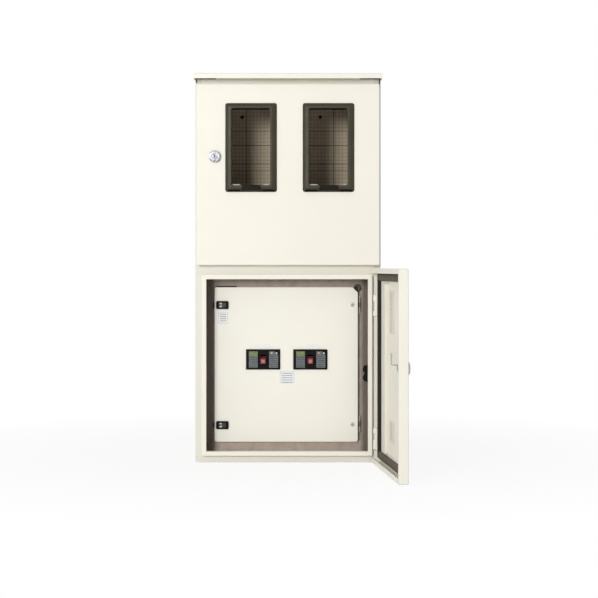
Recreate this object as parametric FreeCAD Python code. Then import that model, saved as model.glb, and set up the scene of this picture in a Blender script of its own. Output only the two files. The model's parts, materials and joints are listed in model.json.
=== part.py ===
import FreeCAD, Part
import math
import os
from collections import namedtuple

os.makedirs("parts", exist_ok=True)

# Outdoor electric meter cabinet of folded steel, in millimetres.
# Origin: on the back plane, at the centre of the four wall holes. +Z up, the front faces -Y.

V = FreeCAD.Vector
Rect = namedtuple("Rect", "left right bottom top")
RIGHT = V(1, 0, 0)
BACK = V(0, 1, 0)
UP = V(0, 0, 1)

# Cabinet
SHEET = 2.0
BEND = 3.0
BODY_W = 500.0
BODY_D = 220.0
FLANGE_W = 18.0
HEADER_H = 19.0
FOOT_H = 2.0
PANEL_FLANGE = 15.0
WALL_HOLE_INSET_X = 30.0
WALL_HOLE_INSET_Z = 39.0
WALL_HOLE_R = 4.5

# Doors
DOOR_SIDE_GAP = 4.0
UPPER_DOOR_H = 487.0
LOWER_DOOR_H = 521.5
DOOR_SPACING = 8.5
DOOR_D = 24.0
DOOR_GAP = 3.0
DOOR_LIP = 13.0
HINGE_SIDE_CUT = 7.0
LIP_CLEAR = 1.0
DOOR_CORNER_R = 4.0
DOOR_EDGE_R = 2.5
LOWER_OPEN_DEG = 95.0

# Collars round the door openings, and their seals
COLLAR_W = 12.0
COLLAR_RETURN = 17.0
COLLAR_END_INSET = 17.0
COLLAR_HINGE_INSET = 19.0
COLLAR_R = 4.0
COLLAR_EDGE_R = 1.5
GASKET_W = 20.0
GASKET_T = 9.0
GASKET_CLEAR = 0.3

# Door hinges
HINGE_INSET = 7.0
HINGE_DEPTH = 10.0
HINGE_H = 57.0
HINGE_DROP = 99.5
HINGE_RISE = 63.5
KNUCKLE_R = 4.0
HINGE_PIN_R = 2.0
PIN_CLEAR = 0.05
KNUCKLE_GAP = 0.4
HINGE_WEB = 2.5
LEAF_BLOCK_W = 10.0
LEAF_BLOCK_SET = 3.5
HINGE_FOOT_W = 17.0
LEAF_FOOT_LAP = 6.0
KNUCKLE_FOOT_W = 11.0
KNUCKLE_FOOT_LAP = 4.0
NOTCH_CLEAR = 1.5
NOTCH_REACH = 5.0

# Door locks
LOCK_INSET = 49.6
UPPER_LOCK_DROP = 195.6
LOWER_LOCK_DROP = 243.5
BEZEL_R = 16.0
BEZEL_T = 10.0
BEZEL_EDGE_R = 3.0
BARREL_R = 11.0
BARREL_L = 16.0
BARREL_CLEAR = 0.1
PLUG_R = 8.0
PLUG_CLEAR = 0.1
NUT_AF = 28.0
NUT_T = 5.0
CAM_L = 37.0
CAM_ROOT = 4.0
CAM_W = 12.0
CAM_T = 2.5
CAM_BACK = 6.5
KEY_SLOT_W = 2.4
KEY_SLOT_H = 9.0
KEY_SLOT_D = 6.0
PLUG_SET = 0.6

# Roof
ROOF_SIDE = 2.5
ROOF_LIP = 14.0
ROOF_OVERHANG = 20.0
ROOF_RISE = 14.0
ROOF_DROP = 6.4
SEAL_T = 1.5
SEAL_BAND = 3.0
SEAL_L = 54.0
SEAL_LEG_LEFT = 14.0
SEAL_LEG_RIGHT = 25.0
SEAL_DROP = 1.0
SEAL_INSET = 2.0

# Windows in the upper door
WINDOW_LOCK_GAP = 13.65
WINDOW_RIGHT_MARGIN = 68.05
WINDOW_BETWEEN = 70.7
WINDOW_TOP_MARGIN = 53.5
WINDOW_BOTTOM_MARGIN = 196.5
WINDOW_RISE = 8.0
WINDOW_BEVEL = 10.0
BORDER_LEFT = 15.1
BORDER_RIGHT = 18.2
BORDER_TOP = 12.6
BORDER_BOTTOM = 18.0
WINDOW_R = 6.0
PANE_SET = 5.0
SPIGOT_WALL = 2.5
SPIGOT_L = 5.0
WINDOW_REBATE = 9.0
TAB_W = 54.0
TAB_H = 14.0
TAB_PROUD = 1.2
RETAINER_W = 16.0
RETAINER_T = 2.0
FIT_GAP = 0.3

# Meter board in the upper compartment
BOARD_SIDE_GAP = 27.5
BOARD_END_GAP = 14.5
BOARD_T = 12.0
BOARD_STAND = 18.0
BOARD_SPACER_R = 9.0
BOARD_SCREW_INSET = 18.0
HOOK_SPACING = 219.0
HOOK_OFFSET = -19.0
HOOK_DROP = 28.0
SCREW_HEAD_R = 5.0
SCREW_HEAD_T = 3.0
SCREW_R = 2.0
SCREW_L = 10.0

# Inner cover of the lower compartment
COVER_DEPTH = 55.0
COVER_T = 1.6
COVER_RIM = 10.0
COVER_LEFT_GAP = 19.5
COVER_RIGHT_GAP = 24.3
COVER_TOP_GAP = 22.4
COVER_BOTTOM_GAP = 19.0
COVER_R = 6.0
COVER_NOTCH = 16.0
COVER_PIVOT_OUT = 5.3
COVER_KNUCKLE_R = 3.2
COVER_WEB = 2.4
COVER_PIN_R = 1.6
COVER_HINGE_H = 40.0
COVER_HINGE_INSET = 48.0
RAIL_GAP = 0.3
RAIL_EDGE_GAP = 5.5
RAIL_LEG = 20.0
RAIL_OVERLAP = 30.7
RAIL_LAP = 3.0
STRIP_GAP = 3.0
TONGUE_ROOM = 2.0
PIVOT_BEHIND = 1.3
KNUCKLE_TO_RAIL = 0.5
RAIL_BEYOND = 6.0
COVER_SCREW_INSET = 16.0
COVER_LEAF_W = 24.0
BUFFER_R = 9.2
BUFFER_INSET = 1.0
BUFFER_SET = 2.0
LATCH_W = 33.6
LATCH_H = 21.6
LATCH_T = 6.0
LATCH_EDGE = 4.5
LATCH_DROP = 48.5
LATCH_RISE = 46.0
LATCH_TRAVEL = 8.0
SLIDER_W = 10.0
SLIDER_H = 12.0
TONGUE_T = 2.0
TONGUE_OUT = 2.5
STEM_H = 6.0
GRIP_PITCH = 3.0
GRIP_W = 1.0
GRIP_D = 2.0
LATCH_R = 3.0

# Circuit breakers
BREAKER_W = 91.6
BREAKER_H = 53.7
BREAKER_PITCH = 128.8
BREAKER_OFFSET = -3.4
BREAKER_RISE = 244.0
BREAKER_BASE_D = 35.0
BREAKER_COVER_D = 35.0
BREAKER_PROUD = 5.0
BREAKER_R = 2.0
CUTOUT_GAP = 1.0
RECESS_W = 29.7
RECESS_H = 46.0
RECESS_D = 3.0
TOGGLE_SIZE = 15.0
TOGGLE_DEPTH = 12.0
TOGGLE_REACH = 25.0
TOGGLE_HUB_R = 9.0
TOGGLE_GAP = 0.4
TOGGLE_REST_DEG = 10.0
SLOT_H = 26.0
BUTTON_SIZE = 5.0
BUTTON_L = 8.0
BUTTON_PROUD = 1.6
BUTTON_ROOM = 3.0
BUTTON_X = 36.5
BUTTON_Z = 17.0
TERMINAL_X = 36.0
TERMINAL_Z = 13.0
TERMINAL_POCKET = 14.0
TERMINAL_DEPTH = 17.0
FIXING_INSET = 8.0
PLATE_W = 300.0
PLATE_H = 120.0
PLATE_FOOT = 25.0

# Cable entry, earth bar and wire clip
GLAND_W = 250.0
GLAND_D = 120.0
GLAND_LAP = 15.0
GLAND_Y = -105.0
BUSH_SPACING = 110.0
BUSH_BORE_R = 18.0
BUSH_NECK_R = 21.0
BUSH_RIM_R = 25.0
BUSH_LOWER = 1.6
BUSH_UPPER = 5.0
EARTH_W = 110.0
EARTH_H = 12.0
EARTH_T = 10.0
EARTH_RISE = 60.0
EARTH_SCREWS = 5
CLIP_H = 45.0
CLIP_T = 8.0
CLIP_REACH = 13.0
CLIP_DROP = 232.5
CLIP_BEHIND = 8.0
LOBE_R = 11.0

# Stiffener of the lower door, measured from the door's hinge edge
RIB_NEAR = 126.0
RIB_W = 38.0
RIB_FOOT = 12.0
RIB_H = 8.0
RIB_T = 1.6
RIB_BEND = 2.2
RIB_END_GAP = 4.0

# Heights and places worked out from the sizes above
BODY_H = FOOT_H + LOWER_DOOR_H + DOOR_SPACING + UPPER_DOOR_H + HEADER_H
DOOR_W = BODY_W - 2 * DOOR_SIDE_GAP
ROOF_W = BODY_W + 2 * ROOF_SIDE
WALL_HOLE_X = BODY_W - 2 * WALL_HOLE_INSET_X
WALL_HOLE_Z = BODY_H - 2 * WALL_HOLE_INSET_Z
TOP = BODY_H / 2
BOTTOM = -BODY_H / 2
SIDE = BODY_W / 2
FRONT = -BODY_D
LOWER_DOOR = Rect(-DOOR_W / 2, DOOR_W / 2, BOTTOM + FOOT_H, BOTTOM + FOOT_H + LOWER_DOOR_H)
UPPER_DOOR = Rect(-DOOR_W / 2, DOOR_W / 2, TOP - HEADER_H - UPPER_DOOR_H, TOP - HEADER_H)
SEAM = (LOWER_DOOR.top + UPPER_DOOR.bottom) / 2
DOOR_REAR = FRONT - DOOR_GAP
DOOR_FRONT = DOOR_REAR - DOOR_D
DOOR_INNER = DOOR_FRONT + SHEET
COLLAR_H = DOOR_GAP + DOOR_D - SHEET - GASKET_T - GASKET_CLEAR
COLLAR_FRONT = FRONT - COLLAR_H
HINGE_X = DOOR_W / 2 - HINGE_INSET
HINGE_Y = DOOR_FRONT + HINGE_DEPTH
LOCK_X = -DOOR_W / 2 + LOCK_INSET
UPPER_LOCK_Z = UPPER_DOOR.top - UPPER_LOCK_DROP
LOWER_LOCK_Z = LOWER_DOOR.top - LOWER_LOCK_DROP


def collar_outer(door):
    """Outline of the raised collar behind a door."""
    return Rect(door.left + DOOR_LIP + LIP_CLEAR, door.right - COLLAR_HINGE_INSET,
                door.bottom + COLLAR_END_INSET, door.top - COLLAR_END_INSET)


def grow(rect, by):
    """A rectangle with each side moved outwards."""
    return Rect(rect.left - by, rect.right + by, rect.bottom - by, rect.top + by)


UPPER_OPENING = grow(collar_outer(UPPER_DOOR), -COLLAR_W)
LOWER_OPENING = grow(collar_outer(LOWER_DOOR), -COLLAR_W)
COVER = Rect(LOWER_OPENING.left + COVER_LEFT_GAP, LOWER_OPENING.right - COVER_RIGHT_GAP,
             LOWER_OPENING.bottom + COVER_BOTTOM_GAP, LOWER_OPENING.top - COVER_TOP_GAP)
COVER_FRONT = FRONT + COVER_DEPTH
COVER_REAR = COVER_FRONT + COVER_RIM
COVER_PIVOT_X = COVER.right + COVER_PIVOT_OUT
COVER_PIVOT_Y = COVER_REAR + PIVOT_BEHIND
RAIL_Y = COVER_REAR + RAIL_GAP
RIGHT_RAIL_Y = COVER_PIVOT_Y + COVER_KNUCKLE_R + KNUCKLE_TO_RAIL
RAIL_BAND = (COVER.bottom - RAIL_BEYOND, COVER.top + RAIL_BEYOND)
COVER_HINGES = (COVER.bottom + COVER_HINGE_INSET, COVER.top - COVER_HINGE_INSET)
LATCHES = (COVER.bottom + LATCH_RISE, COVER.top - LATCH_DROP)
BREAKER_Z = LOWER_OPENING.bottom + BREAKER_RISE
BREAKERS = {"left": BREAKER_OFFSET - BREAKER_PITCH / 2, "right": BREAKER_OFFSET + BREAKER_PITCH / 2}
BREAKER_FRONT = COVER_FRONT - BREAKER_PROUD
BREAKER_JOIN = BREAKER_FRONT + BREAKER_COVER_D
BREAKER_BACK = BREAKER_JOIN + BREAKER_BASE_D
BOARD_X = (UPPER_OPENING.left + UPPER_OPENING.right) / 2
BOARD_Z = (UPPER_OPENING.bottom + UPPER_OPENING.top) / 2
BOARD_W = UPPER_OPENING.right - UPPER_OPENING.left - 2 * BOARD_SIDE_GAP
BOARD_H = UPPER_OPENING.top - UPPER_OPENING.bottom - 2 * BOARD_END_GAP
BOARD_BACK = -SHEET - BOARD_STAND
BOARD_FRONT = BOARD_BACK - BOARD_T
WINDOW_H = UPPER_DOOR_H - WINDOW_TOP_MARGIN - WINDOW_BOTTOM_MARGIN
WINDOW_Z = UPPER_DOOR.bottom + WINDOW_BOTTOM_MARGIN + WINDOW_H / 2
FIRST_WINDOW = LOCK_X + BEZEL_R + WINDOW_LOCK_GAP
LAST_WINDOW = UPPER_DOOR.right - WINDOW_RIGHT_MARGIN
WINDOW_W = (LAST_WINDOW - FIRST_WINDOW - WINDOW_BETWEEN) / 2
WINDOWS = {"left": FIRST_WINDOW + WINDOW_W / 2, "right": LAST_WINDOW - WINDOW_W / 2}


def box(x0, x1, y0, y1, z0, z1):
    """A block between two corners."""
    return Part.makeBox(x1 - x0, y1 - y0, z1 - z0, V(x0, y0, z0))


def slab(rect, y0, y1):
    """A rectangle seen from the front, between two depths."""
    return box(rect.left, rect.right, y0, y1, rect.bottom, rect.top)


def around(x, z, width, height):
    """A rectangle round a centre."""
    return Rect(x - width / 2, x + width / 2, z - height / 2, z + height / 2)


def rod(radius, start, end):
    """A cylinder between two points."""
    return Part.makeCylinder(radius, (end - start).Length, start, end - start)


def edges_along(shape, direction):
    """The straight edges of a shape that lie along a direction."""
    found = []
    for edge in shape.Edges:
        if isinstance(edge.Curve, Part.Line):
            span = edge.Vertexes[-1].Point - edge.Vertexes[0].Point
            if span.cross(direction).Length < 1e-6 * span.Length:
                found.append(edge)
    return found


def edges_at_depth(shape, y):
    """The edges of a shape that lie in one plane facing the front."""
    return [edge for edge in shape.Edges
            if abs(edge.BoundBox.YMin - y) < 1e-6 and abs(edge.BoundBox.YMax - y) < 1e-6]


def soft_block(rect, y_front, y_back, corner_r, edge_r):
    """A block with round corners, and a round edge at its front."""
    block = slab(rect, y_front, y_back)
    block = block.makeFillet(corner_r, edges_along(block, BACK))
    return block.makeFillet(edge_r, edges_at_depth(block, y_front))


def ring(outer, inner, y0, y1):
    """A rectangular frame between two depths."""
    return slab(outer, y0, y1).cut(slab(inner, y0, y1))


def folded(points, thickness, bend, length):
    """A sheet folded along a line of points, with bends, drawn out along a vector."""
    along = V(length).normalize()
    normals = []
    for first, second in zip(points, points[1:]):
        normals.append(along.cross(second - first).normalize())
    offset = [points[0] + normals[0] * thickness]
    for index in range(1, len(points) - 1):
        both = normals[index - 1] + normals[index]
        offset.append(points[index] + both * (thickness / (1 + normals[index - 1].dot(normals[index]))))
    offset.append(points[-1] + normals[-1] * thickness)
    outline = Part.makePolygon(points + offset[::-1] + [points[0]])
    sheet = Part.Face(outline).extrude(length)
    for index in range(1, len(points) - 1):
        turn = normals[index - 1].cross(normals[index]).dot(along)
        near, far = (bend, bend - thickness) if turn > 0 else (bend - thickness, bend)
        for corner, radius in ((points[index], near), (offset[index], far)):
            edge = [e for e in edges_along(sheet, along) if e.distToShape(Part.Vertex(corner))[0] < 1e-6]
            sheet = sheet.makeFillet(radius, edge)
    return sheet


def rounded_wire(rect, y, radius):
    """A rectangle with round corners, at one depth."""
    face = slab(rect, y, y + 1.0)
    face = face.makeFillet(radius, edges_along(face, BACK))
    front = [f for f in face.Faces if abs(f.BoundBox.YMax - y) < 1e-6][0]
    return front.OuterWire


def screw(x, y, z, head_r=SCREW_HEAD_R, head_t=SCREW_HEAD_T, shank=SCREW_L):
    """A domed screw that points back, its head seated at depth y, with a cross slot."""
    head = rod(head_r, V(x, y - head_t, z), V(x, y, z))
    head = head.makeFillet(head_t * 0.6, edges_at_depth(head, y - head_t))
    body = head.fuse(rod(SCREW_R, V(x, y, z), V(x, y + shank, z)))
    slot = head_t * 0.4
    wide = head_r * 1.1
    cross = box(x - wide / 2, x + wide / 2, y - head_t, y - head_t + slot, z - 0.5, z + 0.5)
    cross = cross.fuse(box(x - 0.5, x + 0.5, y - head_t, y - head_t + slot, z - wide / 2, z + wide / 2))
    return body.cut(cross).removeSplitter()


def screw_hole(x, y, z, shank=SCREW_L):
    """The hole that such a screw needs."""
    return rod(SCREW_R + PIN_CLEAR, V(x, y, z), V(x, y + shank + FIT_GAP, z))


def save(name, shapes):
    """Writes one node, either one solid or a group of separate solids."""
    shape = Part.makeCompound(shapes) if isinstance(shapes, list) else shapes.removeSplitter()
    shape.exportStep("parts/" + name + ".step")


def swing(shape):
    """Turns a piece of the lower door from closed to where the door stands open."""
    turned = shape.copy()
    turned.rotate(V(HINGE_X, HINGE_Y, 0), UP, LOWER_OPEN_DEG)
    return turned


def shell_wrapper():
    """Back, sides and front flanges, folded from one sheet."""
    inner = SIDE - FLANGE_W
    points = [V(-inner, FRONT, BOTTOM), V(-SIDE, FRONT, BOTTOM), V(-SIDE, 0, BOTTOM),
              V(SIDE, 0, BOTTOM), V(SIDE, FRONT, BOTTOM), V(inner, FRONT, BOTTOM)]
    shell = folded(points[::-1], SHEET, BEND, UP * BODY_H)
    for x in (-WALL_HOLE_X / 2, WALL_HOLE_X / 2):
        for z in (-WALL_HOLE_Z / 2, WALL_HOLE_Z / 2):
            shell = shell.cut(rod(WALL_HOLE_R, V(x, -2 * SHEET, z), V(x, SHEET, z)))
    return shell


def end_panel(level, inward):
    """Top or bottom of the cabinet, with side flanges turned inwards."""
    half = SIDE - SHEET
    y = FRONT + SHEET
    points = [V(-half, y, level + inward * PANEL_FLANGE), V(-half, y, level),
              V(half, y, level), V(half, y, level + inward * PANEL_FLANGE)]
    if inward < 0:
        points = points[::-1]
    return folded(points[::-1], SHEET, BEND, BACK * (BODY_D - 2 * SHEET)).cut(shell_wrapper())


def bottom_panel():
    """The bottom, with the cable cut-out under the gland plate."""
    half_w = GLAND_W / 2 - GLAND_LAP
    half_d = GLAND_D / 2 - GLAND_LAP
    hole = box(-half_w, half_w, GLAND_Y - half_d, GLAND_Y + half_d, BOTTOM - 1, BOTTOM + SHEET + 1)
    return end_panel(BOTTOM, 1).cut(hole)


def front_frame(door, bottom, top):
    """Front plate with the raised collar that the door's seal presses on."""
    outer = collar_outer(door)
    opening = grow(outer, -COLLAR_W)
    inner = SIDE - FLANGE_W
    plate = slab(Rect(-inner, inner, bottom, top), FRONT, FRONT + SHEET)
    plate = plate.fuse(soft_block(outer, COLLAR_FRONT, FRONT + SHEET, COLLAR_R, COLLAR_EDGE_R))
    hollow = slab(grow(outer, -SHEET), COLLAR_FRONT + SHEET, FRONT + SHEET)
    back = ring(grow(opening, SHEET), opening, COLLAR_FRONT + SHEET, COLLAR_FRONT + COLLAR_RETURN)
    return plate.cut(hollow).cut(slab(opening, COLLAR_FRONT, FRONT + SHEET)).fuse(back)


def partition_shelf():
    """Shelf between the compartments, turned down at its front edge."""
    half = SIDE - SHEET
    points = [V(-half, FRONT + SHEET, SEAM - PANEL_FLANGE), V(-half, FRONT + SHEET, SEAM),
              V(-half, -SHEET, SEAM)]
    return folded(points[::-1], SHEET, BEND, RIGHT * (2 * half)).cut(shell_wrapper())


def roof_hood():
    """Sloping roof with a front lip, side skirts and a back edge on the shell."""
    half = ROOF_W / 2
    front = DOOR_FRONT - ROOF_OVERHANG
    low = TOP - ROOF_DROP
    outline = [V(-half, front, low), V(-half, front, low + ROOF_LIP),
               V(-half, 0, low + ROOF_LIP + ROOF_RISE), V(-half, 0, low)]
    hood = Part.Face(Part.makePolygon(outline + outline[:1])).extrude(RIGHT * ROOF_W)
    inside = half - SHEET
    slope = ROOF_RISE / (BODY_D + DOOR_D + DOOR_GAP + ROOF_OVERHANG)
    under_front = low + ROOF_LIP - SHEET + slope * SHEET
    under_back = low + ROOF_LIP + ROOF_RISE - SHEET - slope * SHEET
    room = [V(-inside, front + SHEET, low), V(-inside, front + SHEET, under_front),
            V(-inside, -SHEET, under_back), V(-inside, -SHEET, low)]
    hollow = Part.Face(Part.makePolygon(room + room[:1])).extrude(RIGHT * (2 * inside))
    hood = hood.makeFillet(BEND, [e for e in edges_along(hood, RIGHT)
                                  if e.BoundBox.YMax < front + 1 and e.BoundBox.ZMin > low + 1])
    hood = hood.cut(hollow)
    return hood.cut(box(-SIDE, SIDE, -SHEET - 1, 1, low - 1, TOP))


def roof_corner_seals():
    """Two black packing strips that close the corners under the roof."""
    top = TOP - SEAL_DROP
    edge = SIDE - SEAL_INSET
    seals = []
    for sign, leg in ((-1, SEAL_LEG_LEFT), (1, SEAL_LEG_RIGHT)):
        start, end = sorted((sign * edge, sign * (edge - SEAL_L)))
        strip = box(start, end, FRONT - SEAL_T, FRONT, top - SEAL_BAND, top)
        start, end = sorted((sign * edge, sign * (edge - SEAL_BAND)))
        seals.append(strip.fuse(box(start, end, FRONT - SEAL_T, FRONT, top - leg, top)).removeSplitter())
    return seals


def door_pan(door, hinges):
    """A door folded as a pan, lower on its hinge side and notched beside its hinges."""
    pan = soft_block(door, DOOR_FRONT, DOOR_REAR, DOOR_CORNER_R, DOOR_EDGE_R)
    hollow = soft_block(grow(door, -SHEET), DOOR_INNER, DOOR_REAR - SHEET,
                        DOOR_CORNER_R - SHEET, DOOR_EDGE_R - SHEET)
    pan = pan.cut(hollow).cut(slab(grow(door, -DOOR_LIP), DOOR_REAR - SHEET, DOOR_REAR))
    hinge_side = box(door.right - DOOR_LIP - 1, door.right + 1, DOOR_REAR - HINGE_SIDE_CUT, DOOR_REAR + 1,
                     door.bottom + DOOR_LIP, door.top - DOOR_LIP)
    pan = pan.cut(hinge_side)
    for z in hinges:
        half = HINGE_H / 2 + NOTCH_CLEAR
        pan = pan.cut(box(door.right - DOOR_LIP - 1, door.right + 1,
                          HINGE_Y - NOTCH_REACH, DOOR_REAR + 1, z - half, z + half))
    return pan


def hinge_heights(door):
    """Heights of the middles of a door's two hinges."""
    return (door.bottom + HINGE_RISE, door.top - HINGE_DROP)


def gasket(door):
    """Foam seal glued inside a door, centred on the collar's face."""
    side = (GASKET_W - COLLAR_W) / 2
    outer = grow(collar_outer(door), side)
    inner = grow(outer, -GASKET_W)
    seal = slab(outer, DOOR_INNER, DOOR_INNER + GASKET_T)
    seal = seal.makeFillet(side, edges_along(seal, BACK))
    return seal.cut(slab(inner, DOOR_INNER, DOOR_INNER + GASKET_T))


def fixed_leaf(z):
    """Body side of a door hinge: foot, web, block and two end knuckles."""
    low = z - HINGE_H / 2
    high = z + HINGE_H / 2
    third = HINGE_H / 6
    foot = box(HINGE_X + LEAF_FOOT_LAP - HINGE_FOOT_W, HINGE_X + LEAF_FOOT_LAP,
               FRONT - SHEET, FRONT, low, high)
    web = box(HINGE_X - HINGE_WEB / 2, HINGE_X + HINGE_WEB / 2, HINGE_Y, FRONT - SHEET, low, high)
    block = box(HINGE_X - LEAF_BLOCK_W, HINGE_X, HINGE_Y + LEAF_BLOCK_SET, FRONT - SHEET, low, high)
    block = block.makeFillet(1.5, edges_along(block, UP)[:1])
    barrel = rod(KNUCKLE_R, V(HINGE_X, HINGE_Y, low), V(HINGE_X, HINGE_Y, high))
    middle = rod(KNUCKLE_R + KNUCKLE_GAP, V(HINGE_X, HINGE_Y, z - third - KNUCKLE_GAP),
                 V(HINGE_X, HINGE_Y, z + third + KNUCKLE_GAP))
    bore = rod(HINGE_PIN_R + PIN_CLEAR, V(HINGE_X, HINGE_Y, low - 1), V(HINGE_X, HINGE_Y, high + 1))
    return foot.fuse(web).fuse(block).fuse(barrel).cut(middle).cut(bore).removeSplitter()


def door_knuckle(z):
    """Door side of a hinge: foot on the door's plate, web and middle knuckle."""
    third = HINGE_H / 6
    foot = box(HINGE_X + KNUCKLE_FOOT_LAP - KNUCKLE_FOOT_W, HINGE_X + KNUCKLE_FOOT_LAP,
               DOOR_INNER, DOOR_INNER + SHEET, z - HINGE_H * 0.4, z + HINGE_H * 0.4)
    web = box(HINGE_X - HINGE_WEB / 2, HINGE_X + HINGE_WEB / 2, DOOR_INNER, HINGE_Y, z - third, z + third)
    barrel = rod(KNUCKLE_R, V(HINGE_X, HINGE_Y, z - third), V(HINGE_X, HINGE_Y, z + third))
    bore = rod(HINGE_PIN_R + PIN_CLEAR, V(HINGE_X, HINGE_Y, z - third - 1),
               V(HINGE_X, HINGE_Y, z + third + 1))
    return foot.fuse(web).fuse(barrel).cut(bore).removeSplitter()


def headed_pin(x, y, low, high, radius, head_r):
    """A hinge pin with a flat head at each end."""
    pin = rod(radius, V(x, y, low - FIT_GAP), V(x, y, high + FIT_GAP))
    for z in (low - FIT_GAP - 1.2, high + FIT_GAP):
        pin = pin.fuse(rod(head_r, V(x, y, z), V(x, y, z + 1.2)))
    return pin.removeSplitter()


def door_hinge_pins(heights):
    """The pins of a door's hinges."""
    half = HINGE_H / 2
    return [headed_pin(HINGE_X, HINGE_Y, z - half, z + half, HINGE_PIN_R, HINGE_PIN_R + 1) for z in heights]


def lock_hole(z):
    """Round hole for a lock in a door's plate."""
    return rod(BARREL_R + BARREL_CLEAR, V(LOCK_X, DOOR_FRONT - 1, z), V(LOCK_X, DOOR_INNER + 1, z))


def lock_case(z):
    """Fixed part of a lock: dished bezel, barrel and hexagon nut."""
    front = DOOR_FRONT - BEZEL_T
    bezel = rod(BEZEL_R, V(LOCK_X, front, z), V(LOCK_X, DOOR_FRONT, z))
    bezel = bezel.makeFillet(BEZEL_EDGE_R, edges_at_depth(bezel, front))
    barrel = rod(BARREL_R, V(LOCK_X, DOOR_FRONT, z), V(LOCK_X, DOOR_INNER + BARREL_L, z))
    corners = []
    for index in range(7):
        angle = math.radians(60 * index)
        reach = NUT_AF / math.sqrt(3)
        corners.append(V(LOCK_X + reach * math.cos(angle), DOOR_INNER, z + reach * math.sin(angle)))
    nut = Part.Face(Part.makePolygon(corners)).extrude(BACK * NUT_T)
    case = bezel.fuse(barrel).fuse(nut)
    end = V(LOCK_X, DOOR_INNER + BARREL_L + 1, z)
    case = case.cut(rod(PLUG_R + PLUG_CLEAR, V(LOCK_X, front - 1, z), end))
    return case.removeSplitter()


def lock_plug(z):
    """Turning core of a lock, with its key slot and a square tail for the cam."""
    front = DOOR_FRONT - BEZEL_T + PLUG_SET
    tail = DOOR_INNER + BARREL_L + FIT_GAP
    plug = rod(PLUG_R, V(LOCK_X, front, z), V(LOCK_X, tail, z))
    slot = box(LOCK_X - KEY_SLOT_W / 2, LOCK_X + KEY_SLOT_W / 2, front - 1, front + KEY_SLOT_D,
               z - KEY_SLOT_H / 2, z + KEY_SLOT_H / 2)
    return plug.cut(slot).removeSplitter()


def lock_cam(z):
    """Z-bent steel arm on the back of the plug. It points up while the lock is open."""
    start = DOOR_INNER + BARREL_L + FIT_GAP
    rear = FRONT + CAM_BACK
    half = CAM_W / 2
    step = z + half + CAM_ROOT
    points = [V(LOCK_X - half, start, z - half), V(LOCK_X - half, start, step),
              V(LOCK_X - half, rear, step), V(LOCK_X - half, rear, z + CAM_L)]
    return folded(points[::-1], CAM_T, BEND, RIGHT * CAM_W)


def window(x):
    """One moulded window: bevelled border, sunk pane, tab and a spigot through the door."""
    outer = around(x, WINDOW_Z, WINDOW_W, WINDOW_H)
    ridge = grow(outer, -WINDOW_BEVEL)
    frame = Part.makeLoft([rounded_wire(outer, DOOR_FRONT, WINDOW_R),
                           rounded_wire(ridge, DOOR_FRONT - WINDOW_RISE, WINDOW_R)], True, True)
    pane_front = DOOR_FRONT - WINDOW_RISE + PANE_SET
    sight = Rect(outer.left + BORDER_LEFT, outer.right - BORDER_RIGHT, outer.bottom + BORDER_BOTTOM,
                 outer.top - BORDER_TOP)
    frame = frame.cut(slab(sight, DOOR_FRONT - WINDOW_RISE - 1, pane_front))
    tab = Rect(x - TAB_W / 2, x + TAB_W / 2, sight.bottom - TAB_H, sight.bottom)
    frame = frame.fuse(slab(tab, DOOR_FRONT - WINDOW_RISE - TAB_PROUD, DOOR_FRONT - SHEET))
    spigot = ring(grow(outer, -WINDOW_REBATE), grow(outer, -WINDOW_REBATE - SPIGOT_WALL),
                  DOOR_FRONT, DOOR_INNER + SPIGOT_L)
    return frame.fuse(spigot).removeSplitter()


def window_hole(x):
    """Cut-out for a window's spigot."""
    hole = grow(around(x, WINDOW_Z, WINDOW_W, WINDOW_H), FIT_GAP - WINDOW_REBATE)
    return slab(hole, DOOR_FRONT - 1, DOOR_INNER + 1)


def window_retainer(x):
    """Steel frame that holds a window from inside the door."""
    inner = grow(around(x, WINDOW_Z, WINDOW_W, WINDOW_H), FIT_GAP - WINDOW_REBATE)
    return ring(grow(inner, RETAINER_W), inner, DOOR_INNER, DOOR_INNER + RETAINER_T)


def board_points():
    """Places of the four screws that hold the meter board."""
    half_w = BOARD_W / 2 - BOARD_SCREW_INSET
    half_h = BOARD_H / 2 - BOARD_SCREW_INSET
    return [(BOARD_X + sx * half_w, BOARD_Z + sz * half_h) for sx in (-1, 1) for sz in (-1, 1)]


def hook_points():
    """Places of the two screws that a meter hangs on."""
    z = BOARD_Z + BOARD_H / 2 - HOOK_DROP
    return [(HOOK_OFFSET - HOOK_SPACING / 2, z), (HOOK_OFFSET + HOOK_SPACING / 2, z)]


def meter_board():
    """Board that carries the meter, with its screw holes."""
    board = slab(around(BOARD_X, BOARD_Z, BOARD_W, BOARD_H), BOARD_FRONT, BOARD_BACK)
    board = board.makeFillet(1.0, edges_at_depth(board, BOARD_FRONT))
    for x, z in board_points() + hook_points():
        board = board.cut(screw_hole(x, BOARD_FRONT - 1, z, BOARD_T + 1))
    return board


def board_spacer(x, z):
    """Tube between the board and the back of the cabinet."""
    tube = rod(BOARD_SPACER_R, V(x, BOARD_BACK, z), V(x, -SHEET, z))
    return tube.cut(screw_hole(x, BOARD_BACK, z, BOARD_STAND))


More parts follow.
